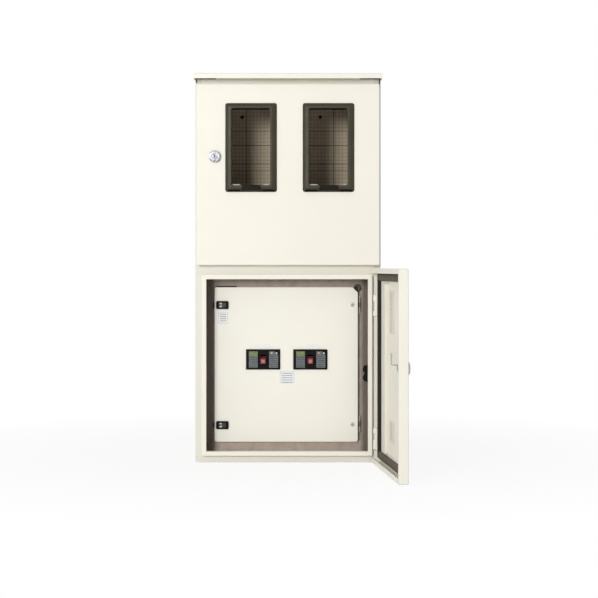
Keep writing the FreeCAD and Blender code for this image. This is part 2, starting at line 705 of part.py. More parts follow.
def inner_cover():
    """Swinging plate over the wiring, cut out for the breakers, with one corner cut off."""
    cover = soft_block(COVER, COVER_FRONT, COVER_REAR, COVER_R, 1.2)
    hollow = soft_block(grow(COVER, -COVER_T), COVER_FRONT + COVER_T, COVER_REAR,
                        COVER_R - COVER_T, 0.4)
    corner = V(COVER.right, COVER_FRONT - 1, COVER.top)
    across = [corner + V(-COVER_NOTCH, 0, 1), corner + V(1, 0, 1), corner + V(1, 0, -COVER_NOTCH)]
    notch = Part.Face(Part.makePolygon(across + across[:1])).extrude(BACK * (COVER_RIM + 2))
    cover = cover.cut(hollow).cut(notch)
    for x in BREAKERS.values():
        hole = around(x, BREAKER_Z, BREAKER_W + 2 * CUTOUT_GAP, BREAKER_H + 2 * CUTOUT_GAP)
        cover = cover.cut(slab(hole, COVER_FRONT - 1, COVER_REAR))
    for z in LATCHES:
        slot = latch_slot(z)
        cover = cover.cut(slab(grow(slot, FIT_GAP), COVER_FRONT - 1, COVER_FRONT + COVER_T + 1))
    for z in COVER_HINGES:
        cover = cover.cut(screw_hole(cover_screw_x(), COVER_FRONT - 1, z))
    return cover


def cover_screw_x():
    """Distance of the cover's hinge screws from the cabinet's middle."""
    return COVER.right - COVER_SCREW_INSET


def latch_slot(z):
    """Room that a latch's stem needs in the cover, over its whole travel."""
    middle = latch_x()
    return Rect(middle - SLIDER_W / 2 - LATCH_TRAVEL, middle + SLIDER_W / 2, z - STEM_H / 2, z + STEM_H / 2)


def latch_x():
    """Middle of a latch's thumb piece at rest."""
    return COVER.left + LATCH_EDGE + LATCH_W / 2 + LATCH_TRAVEL / 2


def latch_housing(z):
    """Black bezel of a latch on the front of the cover."""
    x = COVER.left + LATCH_EDGE + LATCH_W / 2
    housing = soft_block(around(x, z, LATCH_W, LATCH_H), COVER_FRONT - LATCH_T, COVER_FRONT, LATCH_R, 1.0)
    return housing.cut(slab(slider_room(z), COVER_FRONT - LATCH_T - 1, COVER_FRONT))


def slider_room(z):
    """Window in a latch's bezel that its thumb piece slides in."""
    x = latch_x()
    return Rect(x - SLIDER_W / 2 - LATCH_TRAVEL - FIT_GAP, x + SLIDER_W / 2 + FIT_GAP,
                z - SLIDER_H / 2 - FIT_GAP, z + SLIDER_H / 2 + FIT_GAP)


def latch_slider(z):
    """Thumb piece, stem and tongue of a latch. The tongue goes behind the left rail."""
    x = latch_x()
    thumb = slab(around(x, z, SLIDER_W, SLIDER_H), COVER_FRONT - LATCH_T + 1, COVER_FRONT - FIT_GAP)
    for step in (-GRIP_PITCH, 0.0, GRIP_PITCH):
        groove = around(x + step, z, GRIP_W, SLIDER_H)
        thumb = thumb.cut(slab(groove, COVER_FRONT - LATCH_T, COVER_FRONT - LATCH_T + GRIP_D))
    tongue_y = RAIL_Y + SHEET + RAIL_GAP
    stem = slab(around(x, z, SLIDER_W, STEM_H), COVER_FRONT - FIT_GAP, tongue_y)
    tongue = slab(Rect(COVER.left - TONGUE_OUT, x + SLIDER_W / 2, z - SLIDER_H / 2, z + SLIDER_H / 2),
                  tongue_y, tongue_y + TONGUE_T)
    return thumb.fuse(stem).fuse(tongue).removeSplitter()


def cover_leaf(z):
    """Cover side of a cover hinge: leaf, step round the rim, and middle knuckle."""
    third = COVER_HINGE_H / 6
    inner = COVER_FRONT + COVER_T
    low = z - COVER_HINGE_H / 2
    right = COVER.right - COVER_T - 1
    points = [V(right - COVER_LEAF_W, inner, low), V(right, inner, low), V(right, COVER_PIVOT_Y - 1, low),
              V(COVER_PIVOT_X, COVER_PIVOT_Y - 1, low)]
    leaf = folded(points, SHEET, BEND, UP * COVER_HINGE_H)
    middle = (low + COVER_HINGE_H / 2 - third, low + COVER_HINGE_H / 2 + third)
    for end in (low - 1, middle[1]):
        height = COVER_HINGE_H / 2 - third + 1
        leaf = leaf.cut(box(COVER.right + 0.5, COVER_PIVOT_X + 5, COVER_PIVOT_Y - 6, COVER_PIVOT_Y + 6,
                            end, end + height))
    barrel = rod(COVER_KNUCKLE_R, V(COVER_PIVOT_X, COVER_PIVOT_Y, middle[0]),
                 V(COVER_PIVOT_X, COVER_PIVOT_Y, middle[1]))
    bore = rod(COVER_PIN_R + PIN_CLEAR, V(COVER_PIVOT_X, COVER_PIVOT_Y, low),
               V(COVER_PIVOT_X, COVER_PIVOT_Y, low + COVER_HINGE_H))
    leaf = leaf.fuse(barrel).cut(bore)
    return leaf.cut(screw_hole(cover_screw_x(), COVER_FRONT, z)).removeSplitter()


def right_rail():
    """Upright on the right wall that carries the cover's hinges."""
    low, high = RAIL_BAND
    side = SIDE - SHEET
    points = [V(side, RIGHT_RAIL_Y + RAIL_LEG, low), V(side, RIGHT_RAIL_Y, low),
              V(COVER.right - RAIL_OVERLAP, RIGHT_RAIL_Y, low)]
    rail = folded(points[::-1], SHEET, BEND, UP * (high - low))
    third = COVER_HINGE_H / 6
    for z in COVER_HINGES:
        for sign in (-1, 1):
            start, end = sorted((z + sign * (third + KNUCKLE_GAP), z + sign * COVER_HINGE_H / 2))
            rail = rail.fuse(rod(COVER_KNUCKLE_R, V(COVER_PIVOT_X, COVER_PIVOT_Y, start),
                                 V(COVER_PIVOT_X, COVER_PIVOT_Y, end)))
            web = box(COVER_PIVOT_X - COVER_WEB / 2, COVER_PIVOT_X + COVER_WEB / 2,
                      COVER_PIVOT_Y, RIGHT_RAIL_Y, start, end)
            rail = rail.fuse(web)
        rail = rail.cut(rod(COVER_PIN_R + PIN_CLEAR, V(COVER_PIVOT_X, COVER_PIVOT_Y, z - COVER_HINGE_H),
                            V(COVER_PIVOT_X, COVER_PIVOT_Y, z + COVER_HINGE_H)))
    return rail


def left_rail():
    """Sheet round the cover: an upright that the latches catch, and strips above and below."""
    low = BOTTOM + 2 * SHEET + SCREW_HEAD_T + STRIP_GAP
    high = SEAM - SHEET
    side = SIDE - SHEET
    points = [V(-side, RAIL_Y + RAIL_LEG, low), V(-side, RAIL_Y, low), V(side, RAIL_Y, low)]
    sheet = folded(points, SHEET, BEND, UP * (high - low))
    sheet = sheet.common(box(-SIDE, side - BEND, -BODY_D, 0, low, high))
    window = Rect(COVER.left + RAIL_LAP, side, COVER.bottom + RAIL_LAP, COVER.top - RAIL_LAP)
    sheet = sheet.cut(slab(window, RAIL_Y - 1, RAIL_Y + RAIL_LEG))
    for z in LATCHES:
        half = SLIDER_H / 2 + TONGUE_ROOM
        notch = Rect(COVER.left - RAIL_EDGE_GAP, COVER.left + RAIL_LAP + 1, z - half, z + half)
        sheet = sheet.cut(slab(notch, RAIL_Y - 1, RAIL_Y + SHEET + 1))
    for x in (BEND - side, side - BEND):
        sheet = sheet.cut(box(x - BEND, x + BEND, -BODY_D, 0, BOTTOM, BOTTOM + PANEL_FLANGE + 1))
    x, z = buffer_place()
    return sheet.cut(rod(BUFFER_R + FIT_GAP, V(x, RAIL_Y - 1, z), V(x, RAIL_Y + SHEET + 1, z)))


def buffer_place():
    """Middle of the rubber buffer at the cover's cut-off corner."""
    return COVER.right - BUFFER_INSET, COVER.top - BUFFER_INSET


def corner_buffer():
    """Round rubber stop beside the cover's cut-off corner, on the right rail."""
    x, z = buffer_place()
    front = COVER_FRONT + BUFFER_SET
    body = rod(BUFFER_R, V(x, front, z), V(x, RIGHT_RAIL_Y, z))
    return body.makeFillet(2.0, edges_at_depth(body, front))


def breaker_base(x):
    """Moulded base of a breaker, with terminal pockets at its ends."""
    base = slab(around(x, BREAKER_Z, BREAKER_W, BREAKER_H), BREAKER_JOIN, BREAKER_BACK)
    base = base.makeFillet(BREAKER_R, edges_along(base, BACK))
    for px, pz in terminal_points(x):
        pocket = around(px + math.copysign(4, px - x), pz, TERMINAL_POCKET + 8, TERMINAL_POCKET)
        base = base.cut(slab(pocket, BREAKER_JOIN, BREAKER_JOIN + TERMINAL_DEPTH))
        base = base.cut(screw_hole(px, BREAKER_JOIN + TERMINAL_DEPTH, pz))
    for pz in (FIXING_INSET - BREAKER_H / 2, BREAKER_H / 2 - FIXING_INSET):
        top = V(x, BREAKER_JOIN, BREAKER_Z + pz)
        base = base.cut(rod(SCREW_R + PIN_CLEAR, top, V(x, BREAKER_BACK, BREAKER_Z + pz)))
        base = base.cut(rod(SCREW_HEAD_R, top, V(x, BREAKER_BACK - FIXING_INSET, BREAKER_Z + pz)))
    return base


def terminal_points(x):
    """Places of a breaker's four terminal screws."""
    return [(x + sx * TERMINAL_X, BREAKER_Z + sz * TERMINAL_Z) for sx in (-1, 1) for sz in (-1, 1)]


def breaker_cover(x):
    """Moulded front of a breaker, with the toggle's recess and the trip button's hole."""
    outline = around(x, BREAKER_Z, BREAKER_W, BREAKER_H)
    cover = soft_block(outline, BREAKER_FRONT, BREAKER_JOIN, BREAKER_R, 1.2)
    recess = around(x, BREAKER_Z, RECESS_W, RECESS_H)
    cover = cover.cut(slab(recess, BREAKER_FRONT - 1, BREAKER_FRONT + RECESS_D))
    hub_y = BREAKER_FRONT + TOGGLE_DEPTH
    wide = TOGGLE_SIZE / 2 + TOGGLE_GAP
    cover = cover.cut(slab(around(x, BREAKER_Z, 2 * wide, SLOT_H), BREAKER_FRONT, hub_y))
    cover = cover.cut(rod(SLOT_H / 2, V(x - wide, hub_y, BREAKER_Z), V(x + wide, hub_y, BREAKER_Z)))
    bx, bz = button_place(x)
    hole = around(bx, bz, BUTTON_SIZE + 2 * FIT_GAP, BUTTON_SIZE + 2 * FIT_GAP)
    return cover.cut(slab(hole, BREAKER_FRONT - 1, BREAKER_FRONT + BUTTON_L + BUTTON_ROOM))


def button_place(x):
    """Middle of a breaker's trip button."""
    return x + BUTTON_X, BREAKER_Z + BUTTON_Z


def breaker_toggle(x):
    """Rocking handle of a breaker: hub and a square tip that rests pointing down."""
    hub_y = BREAKER_FRONT + TOGGLE_DEPTH
    half = TOGGLE_SIZE / 2
    hub = rod(TOGGLE_HUB_R, V(x - half, hub_y, BREAKER_Z), V(x + half, hub_y, BREAKER_Z))
    tip = slab(around(x, BREAKER_Z, TOGGLE_SIZE, TOGGLE_SIZE), hub_y - TOGGLE_REACH, hub_y)
    tip = tip.makeFillet(1.5, edges_at_depth(tip, hub_y - TOGGLE_REACH))
    toggle = hub.fuse(tip).removeSplitter()
    axle = rod(2.0, V(x - half - TOGGLE_GAP, hub_y, BREAKER_Z), V(x + half + TOGGLE_GAP, hub_y, BREAKER_Z))
    toggle = toggle.fuse(axle).removeSplitter()
    toggle.rotate(V(x, hub_y, BREAKER_Z), RIGHT, TOGGLE_REST_DEG)
    return toggle


def trip_button(x):
    """Small button that trips a breaker."""
    bx, bz = button_place(x)
    button = slab(around(bx, bz, BUTTON_SIZE, BUTTON_SIZE), BREAKER_FRONT - BUTTON_PROUD,
                  BREAKER_FRONT + BUTTON_L - BUTTON_PROUD)
    return button.makeFillet(0.6, edges_at_depth(button, BREAKER_FRONT - BUTTON_PROUD))


def breaker_plate():
    """Hat-section plate that carries both breakers off the back."""
    half = PLATE_W / 2
    low = BREAKER_Z - PLATE_H / 2
    inner = BREAKER_BACK + SHEET
    points = [V(half + PLATE_FOOT, -SHEET, low), V(half, -SHEET, low), V(half, inner, low),
              V(-half, inner, low), V(-half, -SHEET, low), V(-half - PLATE_FOOT, -SHEET, low)]
    plate = folded(points, SHEET, BEND, UP * PLATE_H)
    for x in BREAKERS.values():
        for pz in (FIXING_INSET - BREAKER_H / 2, BREAKER_H / 2 - FIXING_INSET):
            start = V(x, BREAKER_BACK, BREAKER_Z + pz)
            plate = plate.cut(rod(SCREW_R + PIN_CLEAR, start, V(x, inner, BREAKER_Z + pz)))
    return plate


def gland_plate():
    """Plate over the bottom cut-out, with two holes for the cable bushes."""
    floor = BOTTOM + SHEET
    plate = box(-GLAND_W / 2, GLAND_W / 2, GLAND_Y - GLAND_D / 2, GLAND_Y + GLAND_D / 2,
                floor, floor + SHEET)
    for x in (-BUSH_SPACING / 2, BUSH_SPACING / 2):
        plate = plate.cut(rod(BUSH_NECK_R, V(x, GLAND_Y, floor - 1), V(x, GLAND_Y, floor + SHEET + 1)))
    return plate


def cable_bush(x):
    """Rubber bush that grips the edge of a hole in the gland plate."""
    floor = BOTTOM + SHEET
    bush = rod(BUSH_RIM_R, V(x, GLAND_Y, floor - BUSH_LOWER), V(x, GLAND_Y, floor))
    bush = bush.fuse(rod(BUSH_NECK_R, V(x, GLAND_Y, floor), V(x, GLAND_Y, floor + SHEET)))
    rim = floor + SHEET
    bush = bush.fuse(rod(BUSH_RIM_R, V(x, GLAND_Y, rim), V(x, GLAND_Y, rim + BUSH_UPPER)))
    return bush.cut(rod(BUSH_BORE_R, V(x, GLAND_Y, BOTTOM - BUSH_RIM_R), V(x, GLAND_Y, BOTTOM + BUSH_RIM_R)))


def gland_screws():
    """Four screws that hold the gland plate."""
    screws = []
    floor = BOTTOM + 2 * SHEET
    out_x = GLAND_W / 2 - FIXING_INSET
    out_y = GLAND_D / 2 - FIXING_INSET
    for x in (-out_x, out_x):
        for y in (GLAND_Y - out_y, GLAND_Y + out_y):
            head = rod(SCREW_HEAD_R, V(x, y, floor), V(x, y, floor + SCREW_HEAD_T))
            screws.append(head.makeFillet(1.5, [head.Edges[0]]))
    return screws


def earth_points():
    """Places of the earth bar's screws."""
    pitch = EARTH_W / EARTH_SCREWS
    z = LOWER_OPENING.bottom + EARTH_RISE
    return [(pitch * (index - (EARTH_SCREWS - 1) / 2), z) for index in range(EARTH_SCREWS)]


def earth_bar():
    """Brass bar for the earth wires."""
    z = LOWER_OPENING.bottom + EARTH_RISE
    bar = slab(around(0, z, EARTH_W, EARTH_H), -SHEET - EARTH_T, -SHEET)
    for x, z in earth_points():
        bar = bar.cut(screw_hole(x, -SHEET - EARTH_T, z, 6))
    return bar


def side_clip():
    """Two-lobed black clip on the right wall that steadies wires at the opening."""
    tip = LOWER_OPENING.right - CLIP_REACH
    y = FRONT + CLIP_BEHIND
    top = LOWER_OPENING.top - CLIP_DROP
    base = box(tip + LOBE_R / 2, SIDE - SHEET, y, y + CLIP_T, top - CLIP_H + CLIP_T, top - CLIP_T)
    for z in (top - LOBE_R, top - CLIP_H + LOBE_R):
        base = base.fuse(rod(LOBE_R, V(tip + LOBE_R, y, z), V(tip + LOBE_R, y + CLIP_T, z)))
    return base.removeSplitter()


def stiffener():
    """Hat-section rib down the inside of the lower door."""
    low = collar_outer(LOWER_DOOR).bottom + GASKET_W + RIB_END_GAP
    high = collar_outer(LOWER_DOOR).top - GASKET_W - RIB_END_GAP
    near = LOWER_DOOR.right - RIB_NEAR
    far = near - RIB_W
    top = DOOR_INNER + RIB_H
    points = [V(near + RIB_FOOT, DOOR_INNER, low), V(near, DOOR_INNER, low), V(near, top, low),
              V(far, top, low), V(far, DOOR_INNER, low), V(far - RIB_FOOT, DOOR_INNER, low)]
    return folded(points[::-1], RIB_T, RIB_BEND, UP * (high - low))


upper_hinges = hinge_heights(UPPER_DOOR)
lower_hinges = hinge_heights(LOWER_DOOR)

save("shell_wrapper", shell_wrapper())
save("top_panel", end_panel(TOP, -1))
save("bottom_panel", bottom_panel())
save("upper_front_frame", front_frame(UPPER_DOOR, SEAM, TOP))
save("lower_front_frame", front_frame(LOWER_DOOR, BOTTOM, SEAM))
save("partition_shelf", partition_shelf())
save("roof_hood", roof_hood())
save("roof_corner_seals", roof_corner_seals())
save("gland_plate", gland_plate())
save("cable_bushes", [cable_bush(x) for x in (-BUSH_SPACING / 2, BUSH_SPACING / 2)])
save("gland_screws", gland_screws())
save("earth_bar", earth_bar())
save("earth_bar_screws", [screw(x, -SHEET - EARTH_T, z, 4.0, 2.5, 6.0) for x, z in earth_points()])

save("meter_board", meter_board())
save("meter_board_spacers", [board_spacer(x, z) for x, z in board_points()])
board_shank = BOARD_T + BOARD_STAND - 1
save("meter_board_screws", [screw(x, BOARD_FRONT, z, shank=board_shank) for x, z in board_points()])
save("meter_hanging_screws", [screw(x, BOARD_FRONT, z) for x, z in hook_points()])

save("upper_hinge_leaves", [fixed_leaf(z) for z in upper_hinges])
save("lower_hinge_leaves", [fixed_leaf(z) for z in lower_hinges])
save("upper_hinge_pins", door_hinge_pins(upper_hinges))
save("lower_hinge_pins", door_hinge_pins(lower_hinges))

upper_door = door_pan(UPPER_DOOR, upper_hinges).cut(lock_hole(UPPER_LOCK_Z))
for side, place in WINDOWS.items():
    upper_door = upper_door.cut(window_hole(place))
    save("window_" + side, window(place))
save("upper_door", upper_door)
save("window_retainers", [window_retainer(place) for place in WINDOWS.values()])
save("upper_door_gasket", gasket(UPPER_DOOR))
save("upper_door_knuckles", [door_knuckle(z) for z in upper_hinges])
save("upper_lock_case", lock_case(UPPER_LOCK_Z))
save("upper_lock_plug", lock_plug(UPPER_LOCK_Z))
save("upper_lock_cam", lock_cam(UPPER_LOCK_Z))

save("lower_door", swing(door_pan(LOWER_DOOR, lower_hinges).cut(lock_hole(LOWER_LOCK_Z))))
save("lower_door_gasket", swing(gasket(LOWER_DOOR)))
save("lower_door_stiffener", swing(stiffener()))
save("lower_door_knuckles", [swing(door_knuckle(z)) for z in lower_hinges])
save("lower_lock_case", swing(lock_case(LOWER_LOCK_Z)))
save("lower_lock_plug", swing(lock_plug(LOWER_LOCK_Z)))
save("lower_lock_cam", swing(lock_cam(LOWER_LOCK_Z)))

save("inner_cover", inner_cover())
save("inner_cover_hinge_leaves", [cover_leaf(z) for z in COVER_HINGES])
save("inner_cover_screws", [screw(cover_screw_x(), COVER_FRONT, z, 6.0, 3.0, 6.0) for z in COVER_HINGES])
save("inner_cover_hinge_pins", [headed_pin(COVER_PIVOT_X, COVER_PIVOT_Y, z - COVER_HINGE_H / 2,
                                           z + COVER_HINGE_H / 2, COVER_PIN_R, COVER_PIN_R + 1)
                                for z in COVER_HINGES])
save("cover_rail_left", left_rail())
save("cover_rail_right", right_rail())
save("cover_corner_buffer", corner_buffer())
save("latch_housings", [latch_housing(z) for z in LATCHES])
save("latch_slider_lower", latch_slider(LATCHES[0]))
save("latch_slider_upper", latch_slider(LATCHES[1]))

save("breaker_mounting_plate", breaker_plate())
for side, place in BREAKERS.items():
    save("breaker_" + side + "_base", breaker_base(place))
    save("breaker_" + side + "_cover", breaker_cover(place))
    save("breaker_" + side + "_toggle", breaker_toggle(place))
    save("breaker_" + side + "_button", trip_button(place))
save("breaker_terminal_screws", [screw(px, BREAKER_JOIN + TERMINAL_DEPTH, pz, 4.5, 3.0, 8.0)
                                 for place in BREAKERS.values() for px, pz in terminal_points(place)])
save("breaker_fixing_screws", [screw(place, BREAKER_BACK - FIXING_INSET, BREAKER_Z + pz, 4.6, 3.0, 9.0)
                               for place in BREAKERS.values()
                               for pz in (FIXING_INSET - BREAKER_H / 2, BREAKER_H / 2 - FIXING_INSET)])
save("side_wire_clip", side_clip())
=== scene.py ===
import json
import math

import bmesh
import bpy
from mathutils import Matrix, Vector


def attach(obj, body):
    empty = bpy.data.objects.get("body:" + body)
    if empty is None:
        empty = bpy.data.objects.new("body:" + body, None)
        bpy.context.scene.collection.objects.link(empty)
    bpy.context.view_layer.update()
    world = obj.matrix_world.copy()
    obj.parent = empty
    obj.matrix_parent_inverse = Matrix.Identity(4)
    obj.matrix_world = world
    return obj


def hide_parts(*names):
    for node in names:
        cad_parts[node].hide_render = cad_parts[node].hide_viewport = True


# Electric meter box of folded steel: an outdoor cabinet with two doors.
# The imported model's frame, in metres: +Z up, the front faces -Y, the back lies on Y = 0.
# Shapes are drawn in mm and scaled to metres as they become objects.

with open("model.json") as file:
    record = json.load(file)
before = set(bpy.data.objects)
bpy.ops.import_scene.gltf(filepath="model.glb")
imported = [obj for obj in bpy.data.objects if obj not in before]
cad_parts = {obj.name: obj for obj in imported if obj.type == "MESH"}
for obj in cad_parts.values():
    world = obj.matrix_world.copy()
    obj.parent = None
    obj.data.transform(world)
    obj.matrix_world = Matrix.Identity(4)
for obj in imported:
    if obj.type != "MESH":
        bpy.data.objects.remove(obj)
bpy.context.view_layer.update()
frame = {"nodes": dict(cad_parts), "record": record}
nodes = frame["nodes"]

MM = 0.001

# Depths of the surfaces that carry the pieces of this scene, from the back to the front
COVER_SHEET_FACE = -154.7
CUT_EDGE_SHADE_BACK = -157.0
LATCH_SLOT_FLOOR = -162.7
COVER_FACE = -165.0
BREAKER_FACE = -170.0
TOGGLE_FACE = -183.0
HINGE_BLOCK_FACE = -233.5
SEAL_FACE = -236.0
SPIGOT_END = -240.0
PAN_INSIDE = -245.0
DOOR_FACE = -247.0
PANE_FACE = -250.0
KEYWAY_FLOOR = -251.5
WINDOW_TOP = -255.0
LOCK_FACE = -257.0

# The lower door is open at rest; its pieces are drawn closed and turned about its hinge
HINGE_AXIS = Matrix.Translation(Vector((239.0, -237.0, 0.0)))
OPEN_TURN = Matrix.Rotation(math.radians(95.0), 4, "Z")
LOWER_DOOR_TURN = HINGE_AXIS @ OPEN_TURN @ HINGE_AXIS.inverted()
UNTURNED = Matrix.Identity(4)

WINDOW_MIDDLES = {"left": -98.25, "right": 109.45}
BREAKER_MIDDLES = {"left": -67.8, "right": 61.0}
BREAKER_Z = -244.0


# Colours and nodes

def linear(code):
    """An sRGB hex colour as linear RGBA."""
    steps = [int(code[i:i + 2], 16) / 255 for i in (1, 3, 5)]
    return [s / 12.92 if s <= 0.04045 else ((s + 0.055) / 1.055) ** 2.4 for s in steps] + [1.0]


def add(tree, kind, settings=None, links=None):
    """Adds a node with its settings and links. Attributes go by name, sockets by name or number."""
    node = tree.nodes.new(kind)
    for key, value in (settings or {}).items():
        if isinstance(key, str) and hasattr(node, key):
            setattr(node, key, value)
        else:
            node.inputs[key].default_value = value
    for key, source in (links or {}).items():
        tree.links.new(source, node.inputs[key])
    return node


def finish(name, colours, roughness, mottle_mm, wear_mm, bump_mm, depth_mm, strength=0.3,
           metallic=0.0, ior=1.5, alpha=1.0, coat=0.0, specular=0.5, drawn=(1.0, 1.0, 1.0)):
    """A finish whose colour, roughness and relief each wander at a real size.

    The pattern can be drawn out along an axis, as on drawn bar.
    """
    material = bpy.data.materials.new(name)
    material.use_nodes = True
    tree = material.node_tree
    surface = tree.nodes["Principled BSDF"]
    for socket, value in (("Metallic", metallic), ("IOR", ior), ("Alpha", alpha),
                          ("Coat Weight", coat), ("Specular IOR Level", specular)):
        surface.inputs[socket].default_value = value
    where = add(tree, "ShaderNodeTexCoord")
    place = add(tree, "ShaderNodeMapping", {"Scale": drawn}, {"Vector": where.outputs["Object"]})
    mottle, wear, bumps = [
        add(tree, "ShaderNodeTexNoise", {"Scale": 1 / (size * MM), "Detail": detail},
            {"Vector": place.outputs[0]})
        for size, detail in ((mottle_mm, 4.0), (wear_mm, 3.0), (bump_mm, 1.5))]
    share = add(tree, "ShaderNodeMapRange", {"From Min": 0.3, "From Max": 0.7},
                {"Value": mottle.outputs["Fac"]})
    colour = add(tree, "ShaderNodeMix",
                 {"data_type": "RGBA", 6: linear(colours[0]), 7: linear(colours[1])},
                 {0: share.outputs["Result"]})
    low, high = roughness
    shine = add(tree, "ShaderNodeMapRange",
                {"From Min": 0.35, "From Max": 0.65, "To Min": low, "To Max": high},
                {"Value": wear.outputs["Fac"]})
    relief = add(tree, "ShaderNodeBump", {"Strength": strength, "Distance": depth_mm * MM},
                 {"Height": bumps.outputs["Fac"]})
    tree.links.new(colour.outputs[2], surface.inputs["Base Color"])
    tree.links.new(shine.outputs["Result"], surface.inputs["Roughness"])
    tree.links.new(relief.outputs["Normal"], surface.inputs["Normal"])
    return material


def overlay(material, share, code):
    """Lays a second colour over a finish, as strongly as the share says."""
    tree = material.node_tree
    base = tree.nodes["Principled BSDF"].inputs["Base Color"]
    mixed = add(tree, "ShaderNodeMix", {"data_type": "RGBA", 7: linear(code)},
                {0: share, 6: base.links[0].from_socket})
    tree.links.new(mixed.outputs[2], base)
    return material


def shade_by_place(material, axis, from_mm, to_mm, code, front_only=True):
    """Takes a finish over to a second colour between two distances from a middle plane: painted
    shade.
    """
    tree = material.node_tree
    where = add(tree, "ShaderNodeTexCoord")
    place = add(tree, "ShaderNodeSeparateXYZ", None, {"Vector": where.outputs["Object"]})
    away = add(tree, "ShaderNodeMath", {"operation": "ABSOLUTE"}, {0: place.outputs[axis]})
    reach = add(tree, "ShaderNodeMapRange", {"From Min": from_mm * MM, "From Max": to_mm * MM},
                {"Value": away.outputs[0]})
    share = reach.outputs["Result"]
    if front_only:
        looks = add(tree, "ShaderNodeSeparateXYZ", None, {"Vector": where.outputs["Normal"]})
        front = add(tree, "ShaderNodeMapRange", {"From Min": -0.5, "From Max": -0.9},
                    {"Value": looks.outputs["Y"]})
        both = add(tree, "ShaderNodeMath", {"operation": "MULTIPLY"},
                   {0: share, 1: front.outputs["Result"]})
        share = both.outputs[0]
    return overlay(material, share, code)


def shade_inside(material, code):
    """Gives the faces of the sides and the back that look into the cabinet a second colour, as
    painted shade.
    """
    tree = material.node_tree
    where = add(tree, "ShaderNodeTexCoord")
    place = add(tree, "ShaderNodeSeparateXYZ", None, {"Vector": where.outputs["Object"]})
    looks = add(tree, "ShaderNodeSeparateXYZ", None, {"Vector": where.outputs["Normal"]})
    # a side wall's inner face looks against its own distance from the middle, in metres
    across = add(tree, "ShaderNodeMath", {"operation": "MULTIPLY"},
                 {0: place.outputs["X"], 1: looks.outputs["X"]})
    side = add(tree, "ShaderNodeMath", {"operation": "LESS_THAN", 1: -0.1}, {0: across.outputs[0]})
    front = add(tree, "ShaderNodeMath", {"operation": "LESS_THAN", 1: -0.5},
                {0: looks.outputs["Y"]})
    back = add(tree, "ShaderNodeMath", {"operation": "GREATER_THAN", 1: -20 * MM},
               {0: place.outputs["Y"]})
    rear = add(tree, "ShaderNodeMath", {"operation": "MULTIPLY"},
               {0: front.outputs[0], 1: back.outputs[0]})
    share = add(tree, "ShaderNodeMath", {"operation": "MAXIMUM"},
                {0: side.outputs[0], 1: rear.outputs[0]})
    return overlay(material, share.outputs[0], code)


# Finishes, each named for the real one

def powder_coat(name, first, second, roughness=(0.40, 0.48), mottle_mm=160, wear_mm=45):
    """Polyester powder coat, baked on sheet steel: an even satin with faint orange peel."""
    # real orange peel has cells of 1.5 mm; drawn at 2.6 mm to show
    return finish(name, (first, second), roughness, mottle_mm, wear_mm, bump_mm=2.6, depth_mm=0.05)


def powder_coated_steel():
    """The coat as it is outside: cream and even."""
    return powder_coat("powder_coated_steel", "#F3F0E6", "#F1EDE2")


def recess_shaded_powder_coat():
    """The coat on the shell, with painted shade on its front flanges; inside, a brown primer colour
    that is partly painted shade.
    """
    material = powder_coat("recess_shaded_powder_coat", "#F3F0E6", "#F1EDE2")
    # painted shade: greyer on the flanges set back beside the collar, grey-brown on the faces
    # inside the cabinet
    return shade_inside(shade_by_place(material, "Y", 231.0, 225.0, "#E2DFD5"), "#938879")


def lightened_powder_coat():
    """The coat on the inner cover as painted light: a touch whiter than the coat outside, so the
    cover renders brighter.
    """
    return powder_coat("lightened_powder_coat", "#F8F6EE", "#F6F3EA")


def darkened_powder_coat():
    """The coat on the stiffener as painted shade: a greyer, drier copy of the coat, so its lit face
    renders darker.
    """
    return powder_coat("darkened_powder_coat", "#E6E2D6", "#DFDBCE", (0.44, 0.52), 90, 30)


def primed_steel():
    """Sheet steel with primer alone: flat grey-brown, rolled on a little unevenly; dark partly as
    painted shade, to keep the light inside the cabinet low.
    """
    return finish("primed_steel", ("#8A7F73", "#7F7468"), (0.60, 0.75), mottle_mm=40, wear_mm=20,
                  bump_mm=2.0, depth_mm=0.03, strength=0.2, specular=0.3)


def galvanised_sheet():
    """Galvanised sheet under a thin grey-brown primer gone dull: mottled, with a soft sheen."""
    return finish("galvanised_sheet", ("#AFA298", "#9C9086"), (0.45, 0.62), mottle_mm=22,
                  wear_mm=12, bump_mm=1.2, depth_mm=0.02, strength=0.35, metallic=0.25)


def galvanised_sheet_edge():
    """The same sheet round the inner cover, with painted shade on its sides, darker towards the
    walls of the cabinet.
    """
    material = finish("galvanised_sheet_edge", ("#B2A59A", "#A09389"), (0.50, 0.65), mottle_mm=22,
                      wear_mm=12, bump_mm=1.2, depth_mm=0.02, strength=0.35, metallic=0.2)
    # painted shade in the side gaps between the collar and the cover
    return shade_by_place(material, "X", 197.0, 208.0, "#6A5F56")


def phosphated_steel():
    """Phosphated steel of the cover's hinges: dull grey-brown, with a dry, blotchy skin; kept as
    dark as the shaded gap round them, partly painted shade.
    """
    return finish("phosphated_steel", ("#82776D", "#72685F"), (0.60, 0.75), mottle_mm=8, wear_mm=5,
                  bump_mm=1.5, depth_mm=0.02, specular=0.25)


def zinc_plated_steel():
    """Bright zinc plate on turned and pressed steel: pale silver, fine drawn marks."""
    return finish("zinc_plated_steel", ("#CFCEC9", "#BDBBB3"), (0.24, 0.40), mottle_mm=9,
                  wear_mm=1.4, bump_mm=2.0, depth_mm=0.01, strength=0.15, metallic=1.0,
                  drawn=(1.0, 1.0, 0.15))


def chromed_zinc_casting():
    """Die-cast zinc, polished and chrome plated: clear reflections with light wiping marks."""
    return finish("chromed_zinc_casting", ("#B2B3B8", "#A2A4AA"), (0.12, 0.26), mottle_mm=8,
                  wear_mm=3.5, bump_mm=6.0, depth_mm=0.02, strength=0.2, metallic=1.0)


